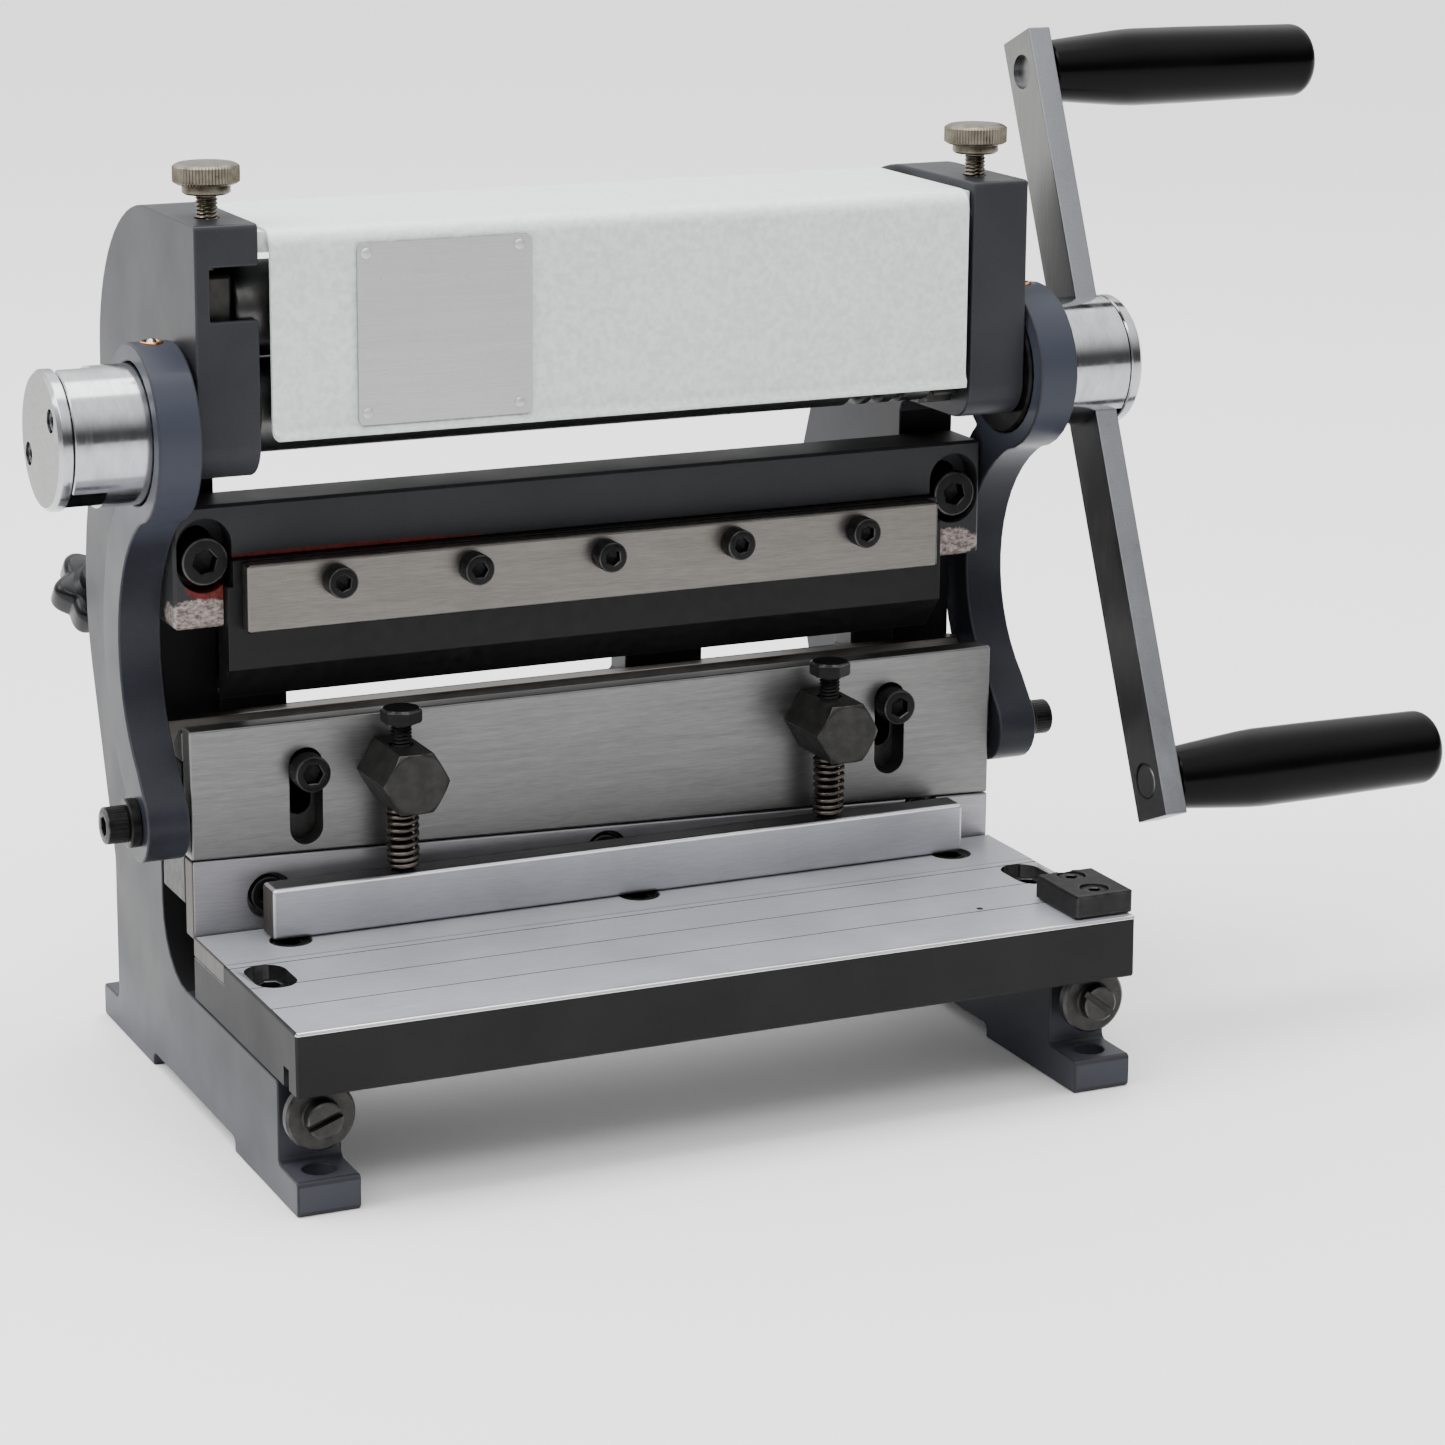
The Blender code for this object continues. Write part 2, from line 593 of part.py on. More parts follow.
def socket_screw(name, seat, direction, kind, grip, look=BLACK_OXIDE):
    """Cap screw whose head rests on seat; direction points from the seat out of the head."""
    shank, head, height, key = kind
    out = Vector(direction).normalized()
    profile = [(-grip, shank), (0.0, shank), (0.0, head), (height - SCREW_EDGE, head),
               (height, head - SCREW_EDGE)]
    screw = turned(name, seat, out, profile, look, SMALL_ROUND)
    socket = turned(name + "_key", Vector(seat) + out * (height / 2), out,
                    [(0.0, key / 2 / math.cos(math.pi / 6)), (height, key / 2 / math.cos(math.pi / 6))],
                    look, 6)
    return combine(screw, socket)


def frame_outline():
    return rounded([
        (FOOT_FRONT, 0.0, CASTING_EDGE, 1),
        (FOOT_FRONT, FOOT_HEIGHT, CASTING_EDGE, 1),
        (FOOT_FRONT + FOOT_LENGTH, FOOT_HEIGHT, FRAME_SOLE_FILLET, 2),
        (FOOT_FRONT + FOOT_LENGTH, LEDGE_Z, CASTING_EDGE, 1),
        (COLUMN_FRONT, LEDGE_Z, COLUMN_FOOT_FILLET, ARC_STEPS),
        (COLUMN_FRONT, HEAD_BOTTOM, COLUMN_HEAD_FILLET, 2),
        (HEAD_FRONT, HEAD_BOTTOM, HEAD_CHIN_RADIUS, ARC_STEPS),
        (HEAD_FRONT, FRAME_TOP, CASTING_EDGE, 1),
        (HEAD_BACK, FRAME_TOP, HEAD_BACK_RADIUS, LONG_ARC_STEPS),
        (HEAD_BACK, HEAD_BACK_BOTTOM, HEAD_BACK_FILLET, 2),
        (BULGE_Y, BULGE_Z, BULGE_RADIUS, ARC_STEPS),
        (FRAME_REAR_LEG, REAR_LEG_TOP, REAR_LEG_FILLET, 2),
        (FRAME_REAR_LEG, FOOT_HEIGHT, FRAME_SOLE_FILLET, 2),
        (FRAME_REAR_LEG + FOOT_LENGTH, FOOT_HEIGHT, CASTING_EDGE, 1),
        (FRAME_REAR_LEG + FOOT_LENGTH, 0.0, CASTING_EDGE, 1),
        (FRAME_SOLE_REAR, 0.0, 0.0, 0),
        (FRAME_SOLE_REAR, FRAME_SOLE_RISE, FRAME_SOLE_FILLET, 2),
        (FRAME_SOLE_FRONT, FRAME_SOLE_RISE, FRAME_SOLE_FILLET, 2),
        (FRAME_SOLE_FRONT, 0.0, 0.0, 0),
    ])


def slanted_box(name, centre, along, across, low, high, look=CASTING):
    """Box between two X places, centred on a (y, z) point and turned by the rear slope."""
    cos_slope = math.cos(REAR_SLOPE)
    sin_slope = math.sin(REAR_SLOPE)
    outline = []
    for run, side in ((-along, -across), (along, -across), (along, across), (-along, across)):
        outline.append((centre[0] - run / 2 * cos_slope + side / 2 * sin_slope,
                        centre[1] + run / 2 * sin_slope + side / 2 * cos_slope))
    return prism(name, outline, low, high, look)


def build_frames():
    for side, sign in SIDES:
        inner = sign * FRAME_INNER
        outer = sign * HALF_WIDTH
        frame = prism(side + "_end_frame", frame_outline(), min(inner, outer), max(inner, outer), CASTING)
        past_inner = sign * (FRAME_INNER - OVERRUN)
        wall = sign * (HALF_WIDTH - HEAD_OUTER_WALL)
        low, high = sorted((past_inner, wall))
        pocket_half = ROLL_RADIUS + RUN_GAP if sign < 0 else PINCH_BLOCK_WIDTH / 2 + RUN_GAP
        pocket_low = UPPER_ROLL_Z - ROLL_RADIUS - RUN_GAP
        pocket_high = UPPER_ROLL_Z + ROLL_RADIUS + PINCH_TRAVEL + RUN_GAP
        combine(frame, block(side + "_pinch_pocket", (low, CRANK_Y - pocket_half, pocket_low),
                             (high, CRANK_Y + pocket_half, pocket_high), CASTING))
        if sign < 0:
            combine(frame, block(side + "_window", (low, HEAD_FRONT - OVERRUN, WINDOW_BOTTOM),
                                 (high, CRANK_Y, WINDOW_TOP), CASTING))
        combine(frame, rod(side + "_thumb_hole", (sign * FRAME_MID, CRANK_Y, UPPER_ROLL_Z), (0, 0, 1),
                           THUMB_STEM_RADIUS + RUN_GAP, FRAME_TOP - UPPER_ROLL_Z + OVERRUN, CASTING,
                           sides=SMALL_ROUND))
        combine(frame, rod(side + "_crank_bore", (past_inner, CRANK_Y, CRANK_Z), (sign, 0, 0),
                           JOURNAL_RADIUS + RUN_GAP, FRAME_THICKNESS + 2 * OVERRUN, CASTING))
        slot_run = REAR_BLOCK_SIZE + REAR_ROLL_TRAVEL + 2 * RUN_GAP
        middle = (REAR_ROLL_Y - REAR_ROLL_TRAVEL / 2 * math.cos(REAR_SLOPE),
                  REAR_ROLL_Z + REAR_ROLL_TRAVEL / 2 * math.sin(REAR_SLOPE))
        combine(frame, slanted_box(side + "_rear_slot", middle, slot_run, REAR_BLOCK_SIZE + 2 * RUN_GAP,
                                   low, high))
        combine(frame, rod(side + "_knob_hole", (sign * FRAME_MID, REAR_ROLL_Y, REAR_ROLL_Z),
                           (0, math.cos(REAR_SLOPE), -math.sin(REAR_SLOPE)), KNOB_SCREW_RADIUS + RUN_GAP,
                           KNOB_REACH, CASTING, sides=SMALL_ROUND))
        foot_back = FRAME_REAR_LEG + FOOT_LENGTH
        for end, spot in (("front", FOOT_FRONT + FOOT_HOLE_INSET), ("rear", foot_back - FOOT_HOLE_INSET)):
            combine(frame, rod("%s_%s_foot_hole" % (side, end),
                               (sign * FRAME_MID, spot, -OVERRUN), (0, 0, 1), FOOT_HOLE_RADIUS,
                               FOOT_HEIGHT + 2 * OVERRUN, CASTING, sides=SMALL_ROUND))
        combine(frame, rod(side + "_table_tapping", (sign * FRAME_MID, TABLE_BOLT_Y, LEDGE_Z + OVERRUN),
                           (0, 0, -1), M6_SOCKET[0] + SEAT_GAP, SCREW_BITE + 2 * OVERRUN, CASTING,
                           sides=SMALL_ROUND))
        combine(frame, rod(side + "_beam_tapping", (sign * BEAM_BOLT_X, COLUMN_FRONT - OVERRUN, BEAM_BOLT_Z),
                           (0, 1, 0), M8_SOCKET[0] + SEAT_GAP, SCREW_BITE + 2 * OVERRUN, CASTING,
                           sides=SMALL_ROUND))
        combine(frame, rod(side + "_adjuster_tapping", (sign * FRAME_MID, FOOT_FRONT, ADJUSTER_Z), (0, 1, 0),
                           ADJUSTER_STEM_RADIUS + SEAT_GAP, FOOT_LENGTH + ADJUSTER_STEM_LENGTH + OVERRUN,
                           CASTING, sides=SMALL_ROUND))


def tilted_slot(centre, half_length, half_width, tilt):
    """Outline of a straight slot through a screw's head, turned about the screw's axis."""
    along = Vector((math.cos(tilt), math.sin(tilt))) * half_length
    across = Vector((-math.sin(tilt), math.cos(tilt))) * half_width
    middle = Vector(centre)
    return [tuple(middle + run * along + side * across) for run, side in ((-1, -1), (1, -1), (1, 1), (-1, 1))]


def build_table():
    table = block("work_table", (-HALF_WIDTH, 0.0, TABLE_BOTTOM), (HALF_WIDTH, TABLE_DEPTH, TABLE_TOP),
                  GROUND_STEEL)
    soften(table, TABLE_EDGE)
    blade_bottom = TABLE_TOP - LOWER_BLADE_THICKNESS
    rebate_low = (-HALF_WIDTH - OVERRUN, BLADE_FRONT - SEAT_GAP, blade_bottom - SEAT_GAP)
    rebate_high = (HALF_WIDTH + OVERRUN, TABLE_DEPTH + OVERRUN, TABLE_TOP + OVERRUN)
    combine(table, block("blade_rebate", rebate_low, rebate_high, GROUND_STEEL))
    blade = block("lower_shear_blade", (-HALF_WIDTH, BLADE_FRONT, blade_bottom),
                  (HALF_WIDTH, TABLE_DEPTH, TABLE_TOP), GROUND_STEEL)
    soften(blade, SEAT_GAP)
    seat = TABLE_TOP - TABLE_SLOT_DEPTH
    for side, sign in SIDES:
        centre = (sign * FRAME_MID, TABLE_BOLT_Y)
        combine(table, prism(side + "_bolt_recess", stadium(centre, TABLE_SLOT_WIDTH, TABLE_SLOT_LENGTH),
                             seat, TABLE_TOP + OVERRUN, GROUND_STEEL, "z"))
        slot_width = 2 * (M6_SOCKET[0] + RUN_GAP)
        combine(table, prism(side + "_bolt_slot", stadium(centre, slot_width, slot_width + 4 * TABLE_TRAVEL),
                             TABLE_BOTTOM - OVERRUN, seat + OVERRUN, GROUND_STEEL, "z"))
        socket_screw(side + "_table_bolt", (*centre, seat + SEAT_GAP), (0, 0, 1), M6_SOCKET,
                     seat - TABLE_BOTTOM + SCREW_BITE)
        low, high = sorted((sign * (FRAME_INNER - OVERRUN), sign * (HALF_WIDTH + OVERRUN)))
        half_groove = ADJUSTER_FLANGE_THICKNESS / 2 + RUN_GAP
        combine(table, block(side + "_flange_groove",
                             (low, ADJUSTER_GROOVE_Y - half_groove, TABLE_BOTTOM - OVERRUN),
                             (high, ADJUSTER_GROOVE_Y + half_groove, TABLE_BOTTOM + ADJUSTER_GROOVE_DEPTH),
                             GROUND_STEEL))
        back = ADJUSTER_GROOVE_Y + ADJUSTER_FLANGE_THICKNESS / 2
        profile = [(-ADJUSTER_STEM_LENGTH, ADJUSTER_STEM_RADIUS - SCREW_EDGE),
                   (-ADJUSTER_STEM_LENGTH + SCREW_EDGE, ADJUSTER_STEM_RADIUS), (0.0, ADJUSTER_STEM_RADIUS),
                   (0.0, ADJUSTER_FLANGE_RADIUS - SCREW_EDGE), (SCREW_EDGE, ADJUSTER_FLANGE_RADIUS),
                   (ADJUSTER_FLANGE_THICKNESS - SCREW_EDGE, ADJUSTER_FLANGE_RADIUS),
                   (ADJUSTER_FLANGE_THICKNESS, ADJUSTER_FLANGE_RADIUS - SCREW_EDGE),
                   (ADJUSTER_FLANGE_THICKNESS, ADJUSTER_BOSS_RADIUS),
                   (ADJUSTER_FLANGE_THICKNESS + ADJUSTER_BOSS_LENGTH, ADJUSTER_BOSS_RADIUS)]
        adjuster = turned(side + "_table_adjuster", (sign * FRAME_MID, back, ADJUSTER_Z), (0, -1, 0), profile,
                          DARK_STEEL)
        face = back - ADJUSTER_FLANGE_THICKNESS - ADJUSTER_BOSS_LENGTH
        slot = tilted_slot((sign * FRAME_MID, ADJUSTER_Z), ADJUSTER_FLANGE_RADIUS, ADJUSTER_SLOT_WIDTH / 2,
                           ADJUSTER_SLOT_TILTS[side])
        combine(adjuster, prism(side + "_adjuster_slot", slot, face - OVERRUN, face + ADJUSTER_SLOT_DEPTH,
                                DARK_STEEL, "y"))
    stop_low = TABLE_TOP + SEAT_GAP
    stop = block("stop_block", (HALF_WIDTH - STOP_WIDTH, STOP_FRONT, stop_low),
                 (HALF_WIDTH, STOP_FRONT + STOP_DEPTH, stop_low + STOP_HEIGHT), BLACK_OXIDE)
    soften(stop, TABLE_EDGE)
    for place in range(2):
        spot = (HALF_WIDTH - STOP_WIDTH / 2, STOP_FRONT + STOP_BORE_INSET + place * STOP_BORE_SPACING,
                stop_low + STOP_HEIGHT - STOP_BORE_DEPTH)
        combine(stop, rod("stop_bore_%d" % place, spot, (0, 0, 1), STOP_BORE_RADIUS,
                          STOP_BORE_DEPTH + OVERRUN, BLACK_OXIDE, sides=SMALL_ROUND))


def raked(left_z, x):
    """Height of a line that falls evenly from the left end of the ram to its right end."""
    return left_z - BLADE_RAKE_DROP * (x + RAM_HALF_WIDTH) / (2 * RAM_HALF_WIDTH)


def guide_slot(owner, sign, width, bottom, top):
    middle = (sign * GUIDE_X, (bottom + top) / 2)
    cutter = prism("%s_guide_slot_%d" % (owner.name, sign), stadium(middle, width, top - bottom),
                   RAM_PLATE_FRONT - OVERRUN, RAM_BODY_BACK + OVERRUN, WARM_STEEL, "y")
    return combine(owner, cutter)


def build_ram():
    end = RAM_HALF_WIDTH
    body = block("ram_body", (-end, RAM_BODY_FRONT, RAM_BODY_BOTTOM),
                 (end, RAM_BODY_BACK, DIE_BOTTOM - SEAT_GAP), DARK_STEEL)
    soften(body, RAM_EDGE)
    half_vee = DIE_VEE_DEPTH
    prism("lower_die", [(RAM_BODY_FRONT, DIE_BOTTOM), (DIE_BACK, DIE_BOTTOM), (DIE_BACK, DIE_TOP),
                        (VEE_Y + half_vee, DIE_TOP), (VEE_Y, DIE_TOP - DIE_VEE_DEPTH),
                        (VEE_Y - half_vee, DIE_TOP), (RAM_BODY_FRONT, DIE_TOP)], -end, end, WARM_STEEL)
    left_bottom = RAM_PLATE_LEFT_BOTTOM
    plate = prism("ram_front_plate", [(-end, raked(left_bottom, -end)), (end, raked(left_bottom, end)),
                                      (end, RAM_PLATE_TOP), (-end, RAM_PLATE_TOP)],
                  RAM_PLATE_FRONT, RAM_PLATE_FRONT + RAM_PLATE_THICKNESS, WARM_STEEL, "y")
    soften(plate, RAM_EDGE)
    blade_top = left_bottom - SEAT_GAP
    blade_low = blade_top - BLADE_HEIGHT
    blade = prism("upper_shear_blade", [(-end, raked(blade_low, -end)), (end, raked(blade_low, end)),
                                        (end, raked(blade_top, end)), (-end, raked(blade_top, -end))],
                  RAM_PLATE_FRONT, RAM_PLATE_FRONT + BLADE_THICKNESS, GROUND_STEEL, "y")
    soften(blade, SEAT_GAP)
    for side, sign in SIDES:
        guide_slot(plate, sign, GUIDE_SLOT_WIDTH, GUIDE_SLOT_BOTTOM, GUIDE_SLOT_TOP)
        guide_slot(body, sign, BODY_SLOT_WIDTH, BODY_SLOT_BOTTOM, DIE_TOP)
        socket_screw(side + "_guide_screw", (sign * GUIDE_X, RAM_PLATE_FRONT - SEAT_GAP, GUIDE_Z), (0, -1, 0),
                     M6_SOCKET, COLUMN_FRONT - RAM_PLATE_FRONT + SCREW_BITE)
    tie_end = FRAME_INNER - SEAT_GAP
    tie = prism("rear_tie_beam", [(-tie_end, TIE_BOTTOM), (tie_end, TIE_BOTTOM), (tie_end, TIE_LUG_TOP),
                                  (tie_end - TIE_RIGHT_LUG, TIE_LUG_TOP), (tie_end - TIE_RIGHT_LUG, TIE_TOP),
                                  (TIE_MIDDLE_LUG[1], TIE_TOP), (TIE_MIDDLE_LUG[1], TIE_LUG_TOP),
                                  (TIE_MIDDLE_LUG[0], TIE_LUG_TOP), (TIE_MIDDLE_LUG[0], TIE_TOP),
                                  (TIE_LEFT_LUG - tie_end, TIE_TOP), (TIE_LEFT_LUG - tie_end, TIE_LUG_TOP),
                                  (-tie_end, TIE_LUG_TOP)],
                COLUMN_FRONT, COLUMN_FRONT + TIE_DEPTH, CASTING, "y")
    soften(tie, BEAM_EDGE)
    for sign in (-1, 1):
        combine(tie, rod("tie_tapping_%d" % sign, (sign * GUIDE_X, COLUMN_FRONT - OVERRUN, GUIDE_Z), (0, 1, 0),
                         M6_SOCKET[0] + SEAT_GAP, SCREW_BITE + 2 * OVERRUN, CASTING, sides=SMALL_ROUND))


def spring_tube(name, centre, low, high):
    """Compression spring as one open tube with short straight ends square to its seats."""
    wire = SPRING_WIRE_RADIUS
    straight = 2 * wire
    total = SPRING_TURNS * SPRING_POINTS
    start = low + straight
    pitch = (high - low - 2 * straight) / SPRING_TURNS
    coil = []
    for step in range(total + 1):
        angle = 2 * math.pi * step / SPRING_POINTS
        coil.append(Vector((centre[0] + SPRING_RADIUS * math.cos(angle),
                            centre[1] + SPRING_RADIUS * math.sin(angle),
                            start + pitch * step / SPRING_POINTS)))
    points = [Vector((coil[0].x, coil[0].y, low)), *coil, Vector((coil[-1].x, coil[-1].y, high))]
    least = pitch * math.cos(math.atan(pitch / (2 * math.pi * SPRING_RADIUS))) - 2 * wire
    print(name, "least gap to itself", round(least / MM, 2), "mm")
    curve = bpy.data.curves.new(name, "CURVE")
    curve.dimensions = "3D"
    curve.bevel_depth = wire
    curve.bevel_resolution = 1
    curve.use_fill_caps = True
    line = curve.splines.new("POLY")
    line.points.add(len(points) - 1)
    for point, place in zip(line.points, points):
        point.co = (*place, 1.0)
    tube = bpy.data.objects.new(name, curve)
    tube.data.materials.append(SPRING_STEEL)
    bpy.context.collection.objects.link(tube)
    tube.parent = MACHINE
    SOLIDS.append(tube)
    return tube


def build_hold_down():
    bar = block("hold_down_bar", (BAR_LEFT, HOLD_Y - BAR_DEPTH / 2, BAR_BOTTOM),
                (BAR_RIGHT, HOLD_Y + BAR_DEPTH / 2, BAR_TOP), GROUND_STEEL)
    soften(bar, BAR_EDGE)
    bore = HOLD_BOLT_RADIUS + RUN_GAP
    for side, sign in SIDES:
        x = sign * HOLD_X
        back = RAM_PLATE_FRONT - SEAT_GAP
        post = turned(side + "_hex_post", (x, POST_FRONT, POST_Z), (0, 1, 0),
                      [(0.0, POST_FLATS / 2 - SEAT_GAP), (POST_CHAMFER, POST_FLATS / 2 + POST_CHAMFER / 2),
                       (POST_CHAMFER, POST_FLATS), (back - POST_FRONT, POST_FLATS)], DARK_STEEL)
        hexagonal = prism(side + "_post_flats", hexagon((x, POST_Z), POST_FLATS), POST_FRONT - OVERRUN,
                          back + OVERRUN, DARK_STEEL, "y")
        combine(post, hexagonal, "INTERSECT")
        combine(post, rod(side + "_post_bore", (x, HOLD_Y, POST_BOTTOM - OVERRUN), (0, 0, 1), bore,
                          POST_FLATS + 2 * OVERRUN, DARK_STEEL, sides=SMALL_ROUND))
        seat = POST_Z + POST_FLATS / 2 + HOLD_LIFT
        foot = BAR_TOP - HOLD_BOLT_GRIP
        bolt = rod(side + "_hold_down_bolt", (x, HOLD_Y, foot), (0, 0, 1), HOLD_BOLT_RADIUS,
                   seat + HOLD_BOLT_HEAD / 2 - foot, BLACK_OXIDE, SCREW_EDGE, SMALL_ROUND)
        combine(bolt, prism(side + "_bolt_head", hexagon((x, HOLD_Y), HOLD_BOLT_FLATS), seat,
                            seat + HOLD_BOLT_HEAD, BLACK_OXIDE, "z"), "UNION")
        combine(bar, rod(side + "_bar_tapping", (x, HOLD_Y, foot - SEAT_GAP), (0, 0, 1),
                         HOLD_BOLT_RADIUS + SEAT_GAP, HOLD_BOLT_GRIP + OVERRUN, GROUND_STEEL,
                         sides=SMALL_ROUND))
        spring_tube(side + "_hold_down_spring", (x, HOLD_Y), BAR_TOP + SEAT_GAP, POST_BOTTOM - SEAT_GAP)


def punch_outline():
    rise = (PUNCH_THICKNESS - PUNCH_TIP_FLAT) / math.tan(PUNCH_BEVEL)
    top = REBATE_TOP - SEAT_GAP
    return [(PUNCH_FRONT, top), (PUNCH_FRONT, PUNCH_TIP_Z + rise), (PUNCH_BACK - PUNCH_TIP_FLAT, PUNCH_TIP_Z),
            (PUNCH_BACK, PUNCH_TIP_Z), (PUNCH_BACK, top)]


def build_beam():
    beam = block("upper_beam", (-HALF_WIDTH, BEAM_FRONT, BEAM_BOTTOM), (HALF_WIDTH, BEAM_BACK, BEAM_TOP),
                 CASTING)
    soften(beam, BEAM_EDGE)
    edge = PUNCH_HALF_LENGTH + SEAT_GAP
    combine(beam, block("punch_rebate", (-edge, BEAM_FRONT - OVERRUN, BEAM_BOTTOM - OVERRUN),
                        (edge, BEAM_FRONT + REBATE_DEPTH, REBATE_TOP), CASTING))
    seat = BEAM_FRONT + BEAM_SLOT_DEPTH
    for side, sign in SIDES:
        centre = (sign * BEAM_BOLT_X, BEAM_BOLT_Z + BEAM_RECESS_LIFT)
        recess = stadium(centre, BEAM_SLOT_WIDTH, BEAM_SLOT_WIDTH + BEAM_SLOT_RISE)
        combine(beam, prism(side + "_beam_recess", recess, BEAM_FRONT - OVERRUN, seat, CASTING, "y"))
        width = 2 * (M8_SOCKET[0] + RUN_GAP)
        combine(beam, prism(side + "_beam_slot", stadium(centre, width, width + BEAM_SLOT_RISE),
                            seat - OVERRUN, BEAM_BACK + OVERRUN, CASTING, "y"))
        socket_screw(side + "_beam_bolt", (sign * BEAM_BOLT_X, seat - SEAT_GAP, BEAM_BOLT_Z), (0, -1, 0),
                     M8_SOCKET, BEAM_BACK - seat + SCREW_BITE)
    strip = block("clamp_strip", (-STRIP_HALF_LENGTH, STRIP_BACK - STRIP_THICKNESS, STRIP_BOTTOM),
                  (STRIP_HALF_LENGTH, STRIP_BACK, STRIP_TOP), WARM_STEEL)
    soften(strip, STRIP_EDGE)
    punch = prism("brake_punch", punch_outline(), -PUNCH_HALF_LENGTH, PUNCH_HALF_LENGTH, BLACK_OXIDE)
    head_reach = M8_SOCKET[1] + RUN_GAP
    for side, sign in SIDES:
        low, high = sorted((sign * (BEAM_BOLT_X - head_reach), sign * (PUNCH_HALF_LENGTH + OVERRUN)))
        combine(punch, block(side + "_punch_notch", (low, PUNCH_FRONT - OVERRUN, BEAM_BOLT_Z - head_reach),
                             (high, PUNCH_BACK + OVERRUN, REBATE_TOP + OVERRUN), BLACK_OXIDE))
    for index in range(CLAMP_COUNT):
        x = (index - (CLAMP_COUNT - 1) / 2) * CLAMP_PITCH
        head_seat = STRIP_BACK - STRIP_THICKNESS - SEAT_GAP
        grip = BEAM_FRONT + REBATE_DEPTH - head_seat + SCREW_BITE
        socket_screw("clamp_screw_%d" % (index + 1), (x, head_seat, CLAMP_Z), (0, -1, 0), M5_SOCKET, grip)
        for owner in (strip, beam, punch):
            combine(owner, rod("%s_bore_%d" % (owner.name, index), (x, head_seat - OVERRUN, CLAMP_Z),
                               (0, 1, 0), M5_SOCKET[0] + SEAT_GAP, grip + 2 * OVERRUN, CASTING,
                               sides=SMALL_ROUND))


def gear_outline(centre, phase):
    """Spur gear with flat-sided teeth, drawn round its own pitch circle."""
    pitch_radius = ROLL_SPACING / 2
    tip = pitch_radius + TOOTH_DEPTH / 2 - GEAR_BACKLASH
    root = pitch_radius - TOOTH_DEPTH / 2
    step = 2 * math.pi / GEAR_TEETH
    slack = GEAR_BACKLASH / pitch_radius
    outline = []
    for tooth in range(GEAR_TEETH):
        middle = phase + tooth * step
        for radius, share in ((root, -TOOTH_ROOT_SHARE), (tip, -TOOTH_TIP_SHARE), (tip, TOOTH_TIP_SHARE),
                              (root, TOOTH_ROOT_SHARE)):
            angle = middle + share * (step - slack)
            outline.append((centre[0] + radius * math.cos(angle), centre[1] + radius * math.sin(angle)))
    return outline


def wire_grooves(first):
    """Steps of a roll's profile for the wire grooves near one end, from a given X place."""
    steps = []
    place = first
    for radius in WIRE_GROOVE_RADII:
        middle = place + WIRE_GROOVE_SPACING / 2
        steps += arc((middle, ROLL_RADIUS), radius, math.pi, 2 * math.pi, WIRE_GROOVE_STEPS)
        place += WIRE_GROOVE_SPACING
    return steps


def build_gear(name, height, journal, phase):
    gear = prism(name, gear_outline((CRANK_Y, height), phase), GEAR_START, ROLL_END, DARK_STEEL)
    bore = rod(name + "_bore", (GEAR_START - OVERRUN, CRANK_Y, height), (1, 0, 0), journal + SEAT_GAP,
               GEAR_WIDTH + 2 * OVERRUN, DARK_STEEL)
    return combine(gear, bore)


